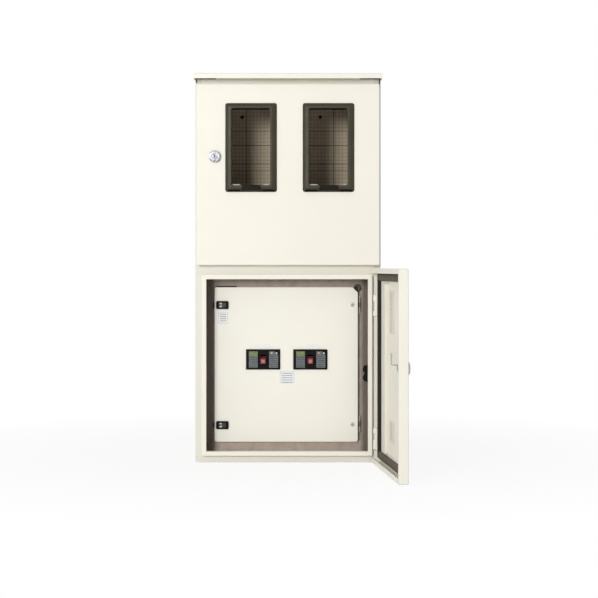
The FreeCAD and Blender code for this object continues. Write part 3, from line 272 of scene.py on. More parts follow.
def drawn_brass():
    """Brass bar, drawn and slightly tarnished: warm yellow metal with lengthwise draw lines."""
    return finish("drawn_brass", ("#CBA75A", "#A98442"), (0.24, 0.42), mottle_mm=7, wear_mm=1.0,
                  bump_mm=1.0, depth_mm=0.01, strength=0.2, metallic=1.0, drawn=(0.05, 1.0, 1.0))


def blackened_steel():
    """Steel with a black oxide skin: near black, dull, with a faint brown cast."""
    return finish("blackened_steel", ("#191713", "#24211C"), (0.50, 0.65), mottle_mm=3, wear_mm=2,
                  bump_mm=1.0, depth_mm=0.01, strength=0.2, specular=0.3)


def moulded_phenolic():
    """Black phenolic, hot pressed in a polished mould: deep black, low gloss, flow marks."""
    return finish("moulded_phenolic", ("#080807", "#0F0E0D"), (0.42, 0.58), mottle_mm=14,
                  wear_mm=5, bump_mm=1.0, depth_mm=0.02, specular=0.1)


def moulded_nylon():
    """Dark grey nylon with glass fibre, injection moulded: satin, with pale fibre streaks."""
    return finish("moulded_nylon", ("#1C1A19", "#2C2A28"), (0.40, 0.55), mottle_mm=3, wear_mm=2,
                  bump_mm=0.9, depth_mm=0.02)


def red_polyamide():
    """Red polyamide, injection moulded: a dense pinkish red that is darker in its hollows."""
    return finish("red_polyamide", ("#86343F", "#6C2832"), (0.32, 0.42), mottle_mm=5, wear_mm=3,
                  bump_mm=0.9, depth_mm=0.02)


def pale_red_polyamide():
    """The end of a toggle: a paler pink than the rest of the red."""
    return finish("pale_red_polyamide", ("#C87F87", "#B3656E"), (0.40, 0.50), mottle_mm=3,
                  wear_mm=2, bump_mm=0.9, depth_mm=0.02)


def urea_button(name, first, second):
    """Urea plastic, moulded: a pale dense button with a soft shine."""
    return finish(name, (first, second), (0.30, 0.42), mottle_mm=3, wear_mm=2, bump_mm=0.8,
                  depth_mm=0.02)


def smoked_polycarbonate(name, first, second, roughness, alpha, specular):
    """Polycarbonate moulded in smoke brown: satin where thick, see-through where thin."""
    return finish(name, (first, second), roughness, mottle_mm=60, wear_mm=14, bump_mm=9,
                  depth_mm=0.03, strength=0.15, ior=1.58, alpha=alpha, specular=specular)


def moulded_rubber():
    """Black EPDM rubber, compression moulded: matt, with a grey bloom here and there."""
    return finish("moulded_rubber", ("#100F0D", "#1F1D1A"), (0.66, 0.80), mottle_mm=8, wear_mm=5,
                  bump_mm=1.5, depth_mm=0.05, strength=0.5)


def brown_buffer_rubber():
    """Rubber of the corner buffer: matt, and browner than the black rubber."""
    return finish("brown_buffer_rubber", ("#64564C", "#564940"), (0.70, 0.82), mottle_mm=6, wear_mm=4,
                  bump_mm=1.5, depth_mm=0.05, strength=0.5)


def label_stock(name, first, second):
    """Printed polyester label, left blank: smooth, cooler than the paint, with a satin film."""
    return finish(name, (first, second), (0.36, 0.44), mottle_mm=7, wear_mm=6, bump_mm=4,
                  depth_mm=0.02, strength=0.15, coat=0.15)


def cellular_foam():
    """Closed-cell EPDM foam strip, cut and glued: dull brown-black skin with pinhole cells."""
    material = finish("cellular_foam", ("#645B4D", "#4D463B"), (0.88, 0.97), mottle_mm=6,
                      wear_mm=4, bump_mm=3.0, depth_mm=0.2)
    tree = material.node_tree
    where = add(tree, "ShaderNodeTexCoord")
    # cells of 0.8 mm, drawn at 1.6 mm to show
    cells = add(tree, "ShaderNodeTexVoronoi", {"Scale": 1 / (1.6 * MM)},
                {"Vector": where.outputs["Object"]})
    pits = add(tree, "ShaderNodeBump", {"Strength": 0.6, "Distance": 0.4 * MM},
               {"Height": cells.outputs["Distance"]})
    tree.links.new(pits.outputs["Normal"], tree.nodes["Principled BSDF"].inputs["Normal"])
    return material


def hinge_shaded_foam():
    """The foam of the open door, with painted shade on the run beside the hinge."""
    material = cellular_foam()
    material.name = "cellular_foam_squeezed"
    # painted shade: the upright run next to the hinge goes near black
    return shade_by_place(material, "Y", 276.0, 266.0, "#1B1713", False)


# Lines of the measuring grid: axis, place of the first line, pitch, width, strength of the ink
# ONCE is a pitch so long that only one line shows
ONCE = 400.0
GRID_LINES = (("X", -117.0, 10.0, 1.0, 0.52), ("Z", 399.8, 10.26, 1.0, 0.52),
              ("X", -117.0, 245.5, 2.2, 0.85),
              ("Z", 348.5, ONCE, 2.2, 0.8), ("Z", 297.2, ONCE, 2.2, 0.8),
              ("Z", 388.6, ONCE, 1.6, 0.6), ("Z", 279.2, ONCE, 1.6, 0.6))


def printed_board():
    """Painted wood-fibre board, screen printed with a grid of fine lines and a few heavy ones."""
    material = finish("printed_board", ("#F4E4CC", "#E9D7BC"), (0.70, 0.80), mottle_mm=6,
                      wear_mm=9, bump_mm=2.0, depth_mm=0.08, strength=0.4)
    tree = material.node_tree
    where = add(tree, "ShaderNodeTexCoord")
    place = add(tree, "ShaderNodeSeparateXYZ", None, {"Vector": where.outputs["Object"]})
    ink = None
    for axis, first, pitch, width, strength in GRID_LINES:
        moved = add(tree, "ShaderNodeMath", {"operation": "SUBTRACT", 1: (first - width / 2) * MM},
                    {0: place.outputs[axis]})
        wrapped = add(tree, "ShaderNodeMath", {"operation": "FLOORED_MODULO", 1: pitch * MM},
                      {0: moved.outputs[0]})
        line = add(tree, "ShaderNodeMath", {"operation": "LESS_THAN", 1: width * MM},
                   {0: wrapped.outputs[0]})
        shade = add(tree, "ShaderNodeMath", {"operation": "MULTIPLY", 1: strength},
                    {0: line.outputs[0]})
        if ink is not None:
            shade = add(tree, "ShaderNodeMath", {"operation": "MAXIMUM"},
                        {0: ink.outputs[0], 1: shade.outputs[0]})
        ink = shade
    return overlay(material, ink.outputs[0], "#40372B")


paint = powder_coated_steel()
frame_paint = recess_shaded_powder_coat()
cover_paint_lightened = lightened_powder_coat()
stiffener_paint_darkened = darkened_powder_coat()
primed = primed_steel()
galvanised = galvanised_sheet()
galvanised_shaded_sides = galvanised_sheet_edge()
phosphated = phosphated_steel()
zinc = zinc_plated_steel()
chrome = chromed_zinc_casting()
brass = drawn_brass()
blackened = blackened_steel()
phenolic = moulded_phenolic()
nylon = moulded_nylon()
red = red_polyamide()
pale_red = pale_red_polyamide()
grey_button = urea_button("grey_button", "#C9CCC6", "#BBBEB8")
shutter_grey = urea_button("shutter_grey", "#8F9091", "#808182")
rose_button = urea_button("rose_button", "#E0A79F", "#CF958D")
smoke_frame = smoked_polycarbonate("smoked_polycarbonate_thick", "#3B3726", "#322E1F",
                                   (0.42, 0.55), 1.0, 0.25)
smoke_tab = smoked_polycarbonate("smoked_polycarbonate_tab", "#1F190C", "#181308",
                                 (0.50, 0.62), 1.0, 0.08)
smoke_painted_shade = smoked_polycarbonate("smoked_polycarbonate_painted_shade", "#080604", "#060503",
                                  (0.55, 0.68), 1.0, 0.05)
smoke_pane = smoked_polycarbonate("smoked_polycarbonate_thin", "#0E0A05", "#0C0804",
                                  (0.16, 0.24), 0.115, 0.04)
painted_highlight_edge = smoked_polycarbonate("polycarbonate_painted_highlight", "#D6CDBC", "#C2B8A5",
                                 (0.40, 0.50), 1.0, 0.3)
foam = cellular_foam()
shaded_foam = hinge_shaded_foam()
rubber = moulded_rubber()
buffer_rubber = brown_buffer_rubber()
grid_board = printed_board()
white_label = label_stock("white_label", "#F4F5F6", "#ECEEF0")
label_line = label_stock("label_line", "#B4BDC5", "#A2ADB7")
grey_label = label_stock("grey_label", "#666C70", "#54595D")
green_label = label_stock("green_label", "#788249", "#646D3B")
card = label_stock("card_stock", "#EEE9DF", "#E8E2D6")
card_ink = label_stock("card_ink", "#B4B5B3", "#A6A7A5")
dark_ink = label_stock("dark_ink", "#3A4147", "#2E3439")

# The finish of each material slot, and of the nodes that differ from their slot
SLOT_FINISHES = {
    "paint": paint, "zinc_steel": galvanised, "pin_steel": zinc, "screw_steel": zinc,
    "lock_chrome": chrome, "seal_rubber": rubber, "foam": foam, "smoked_window": smoke_frame,
    "board": grid_board, "brass": brass, "black_plastic": phenolic, "red_plastic": red,
    "button_plastic": grey_button,
}
OWN_FINISHES = {
    "shell_wrapper": frame_paint, "lower_front_frame": frame_paint, "bottom_panel": frame_paint,
    "inner_cover": cover_paint_lightened, "lower_door_stiffener": stiffener_paint_darkened,
    # the inside of the upper compartment: primer colour, partly painted shade
    "partition_shelf": primed, "top_panel": primed,
    "cover_rail_left": galvanised_shaded_sides, "cover_rail_right": galvanised_shaded_sides,
    "inner_cover_hinge_leaves": phosphated, "meter_hanging_screws": blackened,
    "latch_slider_upper": nylon, "latch_slider_lower": nylon,
}


def dress(obj, material):
    """Gives a whole object one finish."""
    obj.data.materials.clear()
    obj.data.materials.append(material)


for part in frame["record"]["subparts"]:
    name = part["node"]
    dress(nodes[name], OWN_FINISHES.get(name, SLOT_FINISHES[part["material_slot"]]))


# Meshes

def corners(left, right, bottom, top):
    """The four corners (x, z) of a rectangle."""
    return [(left, bottom), (right, bottom), (right, top), (left, top)]


def moved(rect, x, z):
    """A rectangle, given round a middle, at that middle's place."""
    left, right, bottom, top = rect
    return x + left, x + right, z + bottom, z + top


def rounded_rect(left, right, bottom, top, radius, steps=5):
    """Points (x, z) in mm round a rectangle with round corners."""
    centres = ((right - radius, top - radius, 0), (left + radius, top - radius, 90),
               (left + radius, bottom + radius, 180), (right - radius, bottom + radius, 270))
    points = []
    for x, z, start in centres:
        for step in range(steps + 1):
            angle = math.radians(start + 90 * step / steps)
            points.append((x + radius * math.cos(angle), z + radius * math.sin(angle)))
    return points


def ring(rect, inset, radius, y, steps=5):
    """Points (x, y, z) round a rectangle with round corners that is drawn in by an inset."""
    left, right, bottom, top = rect
    drawn = rounded_rect(left + inset, right - inset, bottom + inset, top - inset, radius, steps)
    return [(x, y, z) for x, z in drawn]


def mesh_piece(name, bm, material, sharp_deg=32.0):
    """Turns a bmesh in mm into an object at the origin, with faces outwards."""
    bmesh.ops.remove_doubles(bm, verts=bm.verts, dist=1e-4)
    bmesh.ops.recalc_face_normals(bm, faces=bm.faces)
    bmesh.ops.scale(bm, vec=(MM, MM, MM), verts=bm.verts)
    mesh = bpy.data.meshes.new(name)
    bm.to_mesh(mesh)
    bm.free()
    mesh.shade_smooth()
    mesh.set_sharp_from_angle(angle=math.radians(sharp_deg))
    obj = bpy.data.objects.new(name, mesh)
    bpy.context.scene.collection.objects.link(obj)
    dress(obj, material)
    return obj


def bridge(bm, loops, closed):
    """Faces between loops of equal length.

    Closed joins the last loop to the first; open loops are capped.
    """
    rows = [[bm.verts.new(point) for point in loop] for loop in loops]
    count = len(rows[0])
    pairs = list(zip(rows, rows[1:])) + ([(rows[-1], rows[0])] if closed else [])
    for near, far in pairs:
        for i in range(count):
            j = (i + 1) % count
            bm.faces.new((near[i], near[j], far[j], far[i]))
    if not closed:
        bm.faces.new(rows[0])
        bm.faces.new(rows[-1])


def section_loops(outer, inner, profile, radius):
    """Loops for a moulded frame. Each profile point is (share of the way in, extra mm in, y)."""
    loops = []
    for share, extra, y in profile:
        rect = [o + (i - o) * share for o, i in zip(outer, inner)]
        loops.append(ring(rect, extra, max(radius - extra * 0.5, 1.0), y))
    return loops


def plate(bm, outline, y_back, thickness, edge):
    """A thin plate on a surface that faces the front, with its edge broken."""
    middle_x = sum(x for x, z in outline) / len(outline)
    middle_z = sum(z for x, z in outline) / len(outline)

    def drawn(shrink, y):
        return [(x + math.copysign(shrink, middle_x - x), y,
                 z + math.copysign(shrink, middle_z - z)) for x, z in outline]
    face = y_back - thickness
    bridge(bm, [drawn(0.0, y_back), drawn(0.0, face + edge), drawn(edge, face)], False)


def leaf(name, outline, y_back, thickness, material, edge=0.08, turn=UNTURNED):
    """A thin plate as a piece of its own. Outline is (x, z) in mm."""
    bm = bmesh.new()
    plate(bm, outline, y_back, thickness, edge)
    bmesh.ops.transform(bm, matrix=turn, verts=bm.verts)
    return mesh_piece(name, bm, material)


def keep(piece, body, slot_name, *replaced):
    """Attaches a finished piece to its body, and hides the CAD parts it replaces."""
    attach(piece, body)
    if replaced:
        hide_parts(*replaced)
    return piece


# Windows: a bevelled border with a spigot through the door, sunk pane, thumb tab, pale ledges as
# painted highlights, dark slots and strips as painted shade

WINDOW_LEFT_REACH = 70.0
WINDOW_RIGHT_REACH = 68.5
WINDOW_LOW = 209.5
WINDOW_HIGH = 448.0
WINDOW_R = 6.0
# from the outer edge to the edge of the sight: left, right, bottom and top
BORDER_WIDTHS = (16.6, -18.2, 18.0, -14.1)
PANE_THICKNESS = 3.0
TAB_HALF_TOP = 24.0
TAB_HALF_LOW = 27.0
TAB_HEIGHT = 13.8
TAB_BACK = WINDOW_TOP + 2.0
TAB_THICKNESS = 3.2
TAB_EDGE = 0.8
MOULDED_EDGE = 0.3
LEDGE_THICKNESS = 2.2
SHADE_SLOT_THICKNESS = 6.6
TOP_SHADE_THICKNESS = 1.2
# pale ledges (painted highlights) and dark slots (painted shade) to the left and the right of the
# tab: name, from, to
LEDGES = (("inner", -50.0, -30.0), ("outer", 32.0, 48.0))
LEDGE_LOW = WINDOW_LOW + 18.2
LEDGE_HIGH = WINDOW_LOW + 20.6
SHADE_SLOTS = (("inner", -64.0, -29.0), ("outer", 29.0, 63.0))
SHADE_SLOT_LOW = WINDOW_LOW + 1.0
SHADE_SLOT_HIGH = WINDOW_LOW + 6.4
SHADE_SLOT_SLANT = 2.0
TOP_SHADE_LEFT = -52.0
TOP_SHADE_RIGHT = 49.0
TOP_SHADE_LOW = WINDOW_LOW + 220.2
TOP_SHADE_HIGH = WINDOW_LOW + 224.2


def window_border(name, outer, sight):
    """Border that swells from the door's face to its crown, and a spigot through the door."""
    profile = [(0, 0, DOOR_FACE), (0, 0.1, DOOR_FACE - 1.2), (0.12, 0, DOOR_FACE - 3.4),
               (0.3, 0, DOOR_FACE - 5.5), (0.5, 0, WINDOW_TOP + 0.9), (0.7, 0, WINDOW_TOP + 0.15),
               (0.86, 0, WINDOW_TOP), (0.96, 0, WINDOW_TOP + 0.2), (1, 0, WINDOW_TOP + 0.9),
               (1, 0, DOOR_FACE)]
    loops = section_loops(outer, sight, profile, WINDOW_R)
    for inset, y in ((11.5, DOOR_FACE), (11.5, SPIGOT_END), (9.0, SPIGOT_END), (9.0, DOOR_FACE)):
        loops.append(ring(outer, inset, 1.0, y))
    bm = bmesh.new()
    bridge(bm, loops, True)
    return mesh_piece(name, bm, smoke_frame)


def window_pane(name, sight):
    """Clear pane, sunk in the border."""
    bm = bmesh.new()
    bridge(bm, [ring(sight, 0.0, WINDOW_R, y) for y in (PANE_FACE, PANE_FACE + PANE_THICKNESS)],
           False)
    return mesh_piece(name, bm, smoke_pane)


for side, middle in WINDOW_MIDDLES.items():
    outer = (middle - WINDOW_LEFT_REACH, middle + WINDOW_RIGHT_REACH, WINDOW_LOW, WINDOW_HIGH)
    sight = [edge + width for edge, width in zip(outer, BORDER_WIDTHS)]
    tab_top = sight[2] - 0.2
    tab = [(middle - TAB_HALF_TOP, tab_top), (middle + TAB_HALF_TOP, tab_top),
           (middle + TAB_HALF_LOW, tab_top - TAB_HEIGHT),
           (middle - TAB_HALF_LOW, tab_top - TAB_HEIGHT)]
    for piece in (window_border("window_border_" + side, outer, sight),
                  leaf("window_tab_" + side, tab, TAB_BACK, TAB_THICKNESS, smoke_tab, TAB_EDGE),
                  window_pane("window_pane_" + side, sight)):
        keep(piece, "upper_door", "smoked_window", "window_" + side)

    # pale ledges on the pane beside the tab as painted highlights, and dark slots in the border
    # below them as painted shade
    for end, near, far in LEDGES:
        ledge = leaf("window_ledge_%s_%s" % (side, end),
                     corners(middle + near, middle + far, LEDGE_LOW, LEDGE_HIGH),
                     PANE_FACE, LEDGE_THICKNESS, painted_highlight_edge, MOULDED_EDGE)
        keep(ledge, "upper_door", "smoked_window")
    # dark slots below the ledges: painted shade of the border's bevel
    for end, near, far in SHADE_SLOTS:
        outline = [(middle + near, SHADE_SLOT_LOW), (middle + far, SHADE_SLOT_LOW),
                   (middle + far - SHADE_SLOT_SLANT, SHADE_SLOT_HIGH),
                   (middle + near + SHADE_SLOT_SLANT, SHADE_SLOT_HIGH)]
        shade_slot = leaf("window_drain_%s_%s" % (side, end), outline, DOOR_FACE, SHADE_SLOT_THICKNESS,
                     smoke_painted_shade, MOULDED_EDGE)
        keep(shade_slot, "upper_door", "smoked_window")
    # a dark strip under the top of the sight: painted shade
    outline = corners(middle + TOP_SHADE_LEFT, middle + TOP_SHADE_RIGHT, TOP_SHADE_LOW, TOP_SHADE_HIGH)
    top_shade = leaf("window_bead_" + side, outline, PANE_FACE, TOP_SHADE_THICKNESS, smoke_painted_shade,
                MOULDED_EDGE)
    keep(top_shade, "upper_door", "smoked_window")


# Locks: a black plate on each keyway's floor as painted shade, and the drain hole low in the rim

LOCK_X = -196.4
LOCK_HEIGHTS = (("upper", 304.4, UNTURNED), ("lower", -239.0, LOWER_DOOR_TURN))
# rectangles round the lock's middle: left, right, bottom and top
KEYWAY_SHADE = (-1.1, 1.1, -4.3, 4.3)
KEYWAY_SHADE_THICKNESS = 4.3
LOCK_DRAIN = (-2.0, 1.2, -12.3, -9.1)
LOCK_DRAIN_THICKNESS = 0.3
LOCK_LEAF_R = 0.9
LOCK_LEAF_EDGE = 0.2

for level, z, turn in LOCK_HEIGHTS:
    # the black plate stands in for the shade deep in the keyway
    outline = rounded_rect(*moved(KEYWAY_SHADE, LOCK_X, z), LOCK_LEAF_R, 3)
    shutter = leaf(level + "_lock_shutter", outline, KEYWAY_FLOOR, KEYWAY_SHADE_THICKNESS,
                   blackened, LOCK_LEAF_EDGE, turn)
    keep(shutter, level + "_lock", "pin_steel")
    outline = rounded_rect(*moved(LOCK_DRAIN, LOCK_X, z), LOCK_LEAF_R, 3)
    hole = leaf(level + "_lock_drain", outline, LOCK_FACE, LOCK_DRAIN_THICKNESS,
                blackened, LOCK_LEAF_EDGE, turn)
    keep(hole, level + "_door", "lock_chrome")


# Buffer beside the cover's cut-off corner: a dished brown disc, and a black strip along the cover's
# cut edge as painted shade

BUFFER_X = 189.7
BUFFER_Z = -47.9
BUFFER_PROFILE = ((9.0, -150.0), (9.2, -152.0), (9.2, -159.8), (9.0, -161.0), (8.4, -162.0),
                  (7.3, -162.4), (4.6, -162.4), (4.0, -162.1), (3.6, -161.2), (0.4, -161.0))
CUT_EDGE_SHADE_OUTLINE = ((180.6, -44.4), (191.2, -44.4), (191.2, -61.6), (190.9, -61.6), (180.6, -51.3))
CUT_EDGE_SHADE_THICKNESS = 5.8
RUBBER_EDGE = 0.4


def turned_piece(name, x, z, profile, material, steps=48):
    """A form turned about an axis that runs front to back. Profile is (radius, y) in mm."""
    angles = [2 * math.pi * step / steps for step in range(steps)]
    bm = bmesh.new()
    bridge(bm, [[(x + radius * math.cos(a), y, z + radius * math.sin(a)) for a in angles]
                for radius, y in profile], False)
    return mesh_piece(name, bm, material, 40.0)


disc = turned_piece("cover_buffer", BUFFER_X, BUFFER_Z, BUFFER_PROFILE, buffer_rubber)
keep(disc, "cabinet", "seal_rubber", "cover_corner_buffer")
cut_edge_shade = leaf("cover_buffer_lip", CUT_EDGE_SHADE_OUTLINE, CUT_EDGE_SHADE_BACK, CUT_EDGE_SHADE_THICKNESS, rubber, RUBBER_EDGE)
keep(cut_edge_shade, "cabinet", "seal_rubber")


# Black strips round the cover's top left corner, on the sheet behind it: painted shade in that
# corner

CORNER_SHADE_STRIPS = (("top", (-196.0, -140.0, -50.0, -43.6)), ("side", (-202.0, -196.0, -80.0, -54.0)))
CORNER_SHADE_THICKNESS = 3.6

for end, rect in CORNER_SHADE_STRIPS:
    corner_shade = leaf("cover_packing_" + end, corners(*rect), COVER_SHEET_FACE, CORNER_SHADE_THICKNESS,
                   rubber, RUBBER_EDGE)
    keep(corner_shade, "cabinet", "seal_rubber")


# Grooves between the blocks of the lower door's hinges and their pins

GROOVE_LEFT = 230.2
GROOVE_RIGHT = 231.8
GROOVE_THICKNESS = 0.12
GROOVE_EDGE = 0.04

for end, low, high in (("upper", -110.0, -84.0), ("lower", -457.0, -438.0)):
    groove = leaf("hinge_block_groove_" + end, corners(GROOVE_LEFT, GROOVE_RIGHT, low, high),
                  HINGE_BLOCK_FACE, GROOVE_THICKNESS, blackened, GROOVE_EDGE)
    keep(groove, "cabinet", "paint")


# Shutters behind the slots of the cover's latches

LATCH_HEIGHTS = {"upper": -94.5, "lower": -421.4}
LATCH_SLOT_LEFT = -188.5
LATCH_SLOT_RIGHT = -178.6
LATCH_SLOT_HALF = 4.4
LATCH_SHUTTER_THICKNESS = 0.5
THIN_EDGE = 0.1

for end, z in LATCH_HEIGHTS.items():
    outline = corners(LATCH_SLOT_LEFT, LATCH_SLOT_RIGHT, z - LATCH_SLOT_HALF, z + LATCH_SLOT_HALF)
    shutter = leaf("latch_shutter_" + end, outline, LATCH_SLOT_FLOOR, LATCH_SHUTTER_THICKNESS,
                   shutter_grey, THIN_EDGE)
    keep(shutter, end + "_latch", "black_plastic")


# Door seals: foam strips with crowned faces

COLLAR_W = 12.0
SEAL_W = 20.0
SEAL_SIDE = (SEAL_W - COLLAR_W) / 2
SEAL_R = 5.0


def seal(name, collar, turn, material):
    """A foam strip round a door's inner face, crowned, round at its corners, over the collar."""
    left, right, bottom, top = collar
    outer = (left - SEAL_SIDE, right + SEAL_SIDE, bottom - SEAL_SIDE, top + SEAL_SIDE)
    inner = (outer[0] + SEAL_W, outer[1] - SEAL_W, outer[2] + SEAL_W, outer[3] - SEAL_W)
    back, face = PAN_INSIDE, SEAL_FACE
    profile = [(0, 0.6, back), (0, 0.0, back + 3.0), (0.02, 0, back + 6.6), (0.12, 0, face - 0.7),
               (0.3, 0, face - 0.15), (0.5, 0, face), (0.7, 0, face - 0.15), (0.88, 0, face - 0.7),
               (0.98, 0, back + 6.6), (1, 0, back + 3.0), (1, -0.6, back)]
    bm = bmesh.new()
    bridge(bm, section_loops(outer, inner, profile, SEAL_R), True)
    bmesh.ops.transform(bm, matrix=turn, verts=bm.verts)
    return mesh_piece(name, bm, material, 60.0)


upper_seal = seal("upper_door_foam_seal", (-232.0, 227.0, 30.0, 483.0), UNTURNED, foam)
lower_seal = seal("lower_door_foam_seal", (-232.0, 227.0, -500.0, -12.5), LOWER_DOOR_TURN,
                  shaded_foam)
keep(upper_seal, "upper_door", "foam", "upper_door_gasket")
keep(lower_seal, "lower_door", "foam", "lower_door_gasket")


# Geometry Nodes for what repeats

def rows_tree(name, shape_input, shape_kind, shape_node, shape_socket, shape_output):
    """Geometry Nodes that set one shape at several places, one below another, in one finish."""
    tree = bpy.data.node_groups.new(name, "GeometryNodeTree")
    tree.interface.new_socket(name="Geometry", in_out="OUTPUT", socket_type="NodeSocketGeometry")
    for socket, kind in (("Rows", "Int"), ("Pitch", "Vector"), ("First Row", "Vector"),
                         (shape_input, shape_kind), ("Finish", "Material")):
        tree.interface.new_socket(name=socket, in_out="INPUT", socket_type="NodeSocket" + kind)
    given = add(tree, "NodeGroupInput").outputs
    rows = add(tree, "GeometryNodeMeshLine", None,
               {"Count": given["Rows"], "Start Location": given["First Row"],
                "Offset": given["Pitch"]})
    shape = add(tree, shape_node, None, {shape_socket: given[shape_input]})
    placed = add(tree, "GeometryNodeInstanceOnPoints", None,
                 {"Points": rows.outputs[0], "Instance": shape.outputs[shape_output]})
    real = add(tree, "GeometryNodeRealizeInstances", None, {"Geometry": placed.outputs[0]})
    dressed = add(tree, "GeometryNodeSetMaterial", None,
                  {"Geometry": real.outputs[0], "Material": given["Finish"]})
    add(tree, "NodeGroupOutput", None, {"Geometry": dressed.outputs[0]})
    return tree


def from_tree(name, tree, values):
    """A plain mesh piece made by a Geometry Nodes tree."""
    obj = bpy.data.objects.new(name, bpy.data.meshes.new(name + "_start"))
    bpy.context.scene.collection.objects.link(obj)
    maker = obj.modifiers.new(name, "NODES")
    maker.node_group = tree
    for socket in tree.interface.items_tree:
        if socket.in_out == "INPUT":
            maker[socket.identifier] = values[socket.name]
    ready = obj.evaluated_get(bpy.context.evaluated_depsgraph_get())
    obj.data = bpy.data.meshes.new_from_object(ready)
    obj.modifiers.clear()
    return obj


ruled_rows = rows_tree("ruled_rows", "Rule Size", "Vector", "GeometryNodeMeshCube", "Size", "Mesh")
repeated_marks = rows_tree("repeated_marks", "Mark", "Object", "GeometryNodeObjectInfo", "Object",
                           "Geometry")
RULE_THICKNESS = 0.06
# height of a printed rule as a share of the pitch
RULE_SHARE = 0.4


def ruled(name, left, right, first_z, rows, pitch, face_y, ink, body, slot_name):
    """Plain rules on a surface that faces the front, in mm."""
    middle_y = face_y - RULE_THICKNESS / 2
    values = {"Rows": rows, "Pitch": (0, 0, -pitch * MM), "Finish": ink,
              "First Row": ((left + right) / 2 * MM, middle_y * MM, first_z * MM),
              "Rule Size": ((right - left) * MM, RULE_THICKNESS * MM, pitch * RULE_SHARE * MM)}
    return keep(from_tree(name, ruled_rows, values), body, slot_name)


# Blank labels on the inner cover: (left, right, bottom, top), and the rows of the ruled ones

LABEL_THICKNESS = 0.25
LABEL_R = 1.2
LABEL_PITCH = 6.0
LABEL_MARGIN = 5.0
LABEL_HEAD = 7.0
FRAME_LINE_OUTSIDE = 1.2
FRAME_LINE_INSIDE = 1.9
FRAME_LINE_R = 0.8
FRAME_LINE_BACK = COVER_FACE - 0.22
FRAME_LINE_FACE = COVER_FACE - 0.3
LABELS = {
    "cover_label_left": (-191.1, -163.8, -147.3, -113.7),
    "cover_label_middle": (-22.7, 17.7, -309.7, -275.0),
    "cover_strip_left": (-90.1, -49.9, -212.0, -202.4),
    "cover_strip_right": (49.1, 85.7, -212.0, -202.4),
}
LABEL_ROWS = {"cover_label_left": 4, "cover_label_middle": 5}

for name, rect in LABELS.items():
    label = leaf(name, rounded_rect(*rect, LABEL_R, 3), COVER_FACE, LABEL_THICKNESS, white_label)
    keep(label, "inner_cover", "paint")
for name, rows in LABEL_ROWS.items():
    left, right, bottom, top = LABELS[name]
    line = bmesh.new()
    bridge(line, [ring(LABELS[name], inset, FRAME_LINE_R, y, 2) for inset, y in
                  ((FRAME_LINE_OUTSIDE, FRAME_LINE_BACK), (FRAME_LINE_OUTSIDE, FRAME_LINE_FACE),
                   (FRAME_LINE_INSIDE, FRAME_LINE_FACE), (FRAME_LINE_INSIDE, FRAME_LINE_BACK))],
           True)
    keep(mesh_piece(name + "_frame_line", line, label_line), "inner_cover", "paint")
    ruled(name + "_rules", left + LABEL_MARGIN, right - LABEL_MARGIN, top - LABEL_HEAD, rows,
          LABEL_PITCH, COVER_FACE - LABEL_THICKNESS, label_line, "inner_cover", "paint")


# Printed fields on the breakers, blank but for plain ruled rows, with their test windows

# rectangles round the breaker's middle: left, right, bottom and top
FIELDS = {
    "green": ((-38.8, -14.9, 9.9, 22.2), green_label),
    "grey": ((-38.8, -14.9, -22.3, 9.5), grey_label),
    "rating": ((16.3, 40.8, -22.3, 12.8), grey_label),
    "top": ((16.3, 32.6, 13.2, 22.2), grey_label),
}
FIELD_FACE = BREAKER_FACE - LABEL_THICKNESS
# rows of rules: name, from, to, height of the first, pitch
FIELD_RULES = (("left", -36.5, -17.2, 5.5, 5.0), ("right", 18.6, 38.5, 8.5, 5.4))
FIELD_ROWS = 6
TEST_WINDOW = (21.0, 25.4, 15.6, 19.8)
TEST_WINDOW_THICKNESS = 0.4
TEST_WINDOW_FINISHES = {"left": grey_button, "right": rose_button}
TOGGLE_TIP = (-4.6, 4.6, -4.6, 4.6)
TOGGLE_TIP_THICKNESS = 0.3
BREAKER_MARK_R = 1.6
TOGGLE_AXLE = Matrix.Translation(Vector((0.0, -158.0, BREAKER_Z)))
TOGGLE_TURN = Matrix.Rotation(math.radians(10.0), 4, "X")
TOGGLE_TILT = TOGGLE_AXLE @ TOGGLE_TURN @ TOGGLE_AXLE.inverted()

for side, middle in BREAKER_MIDDLES.items():
    for field, (rect, material) in FIELDS.items():
        label = leaf("breaker_%s_field_%s" % (side, field),
                     corners(*moved(rect, middle, BREAKER_Z)), BREAKER_FACE, LABEL_THICKNESS,
                     material)
        keep(label, "cabinet", "black_plastic")
    for end, left, right, first, pitch in FIELD_RULES:
        ruled("breaker_%s_rules_%s" % (side, end), middle + left, middle + right,
              BREAKER_Z + first, FIELD_ROWS, pitch, FIELD_FACE, dark_ink,
              "cabinet", "black_plastic")
    outline = rounded_rect(*moved(TEST_WINDOW, middle, BREAKER_Z), BREAKER_MARK_R, 3)
    test_window = leaf("breaker_%s_test_window" % side, outline, FIELD_FACE,
                       TEST_WINDOW_THICKNESS, TEST_WINDOW_FINISHES[side], THIN_EDGE)
    keep(test_window, "cabinet", "black_plastic")
    outline = rounded_rect(*moved(TOGGLE_TIP, middle, BREAKER_Z), BREAKER_MARK_R, 3)
    tip = leaf("toggle_tip_" + side, outline, TOGGLE_FACE, TOGGLE_TIP_THICKNESS, pale_red,
               THIN_EDGE, TOGGLE_TILT)
    keep(tip, side + "_toggle", "red_plastic")


# A blank ruled card inside the open door, in two parts

CARD_THICKNESS = 0.3
CARD_FACE = PAN_INSIDE + CARD_THICKNESS
CARD_LEFT = -34.0
CARD_RIGHT = 64.0
CARD_R = 2.0
CARD_RULES_LEFT = 8.0
CARD_RULES_RIGHT = 56.0
CARD_HEAD = 8.0
CARD_PITCH = 4.2
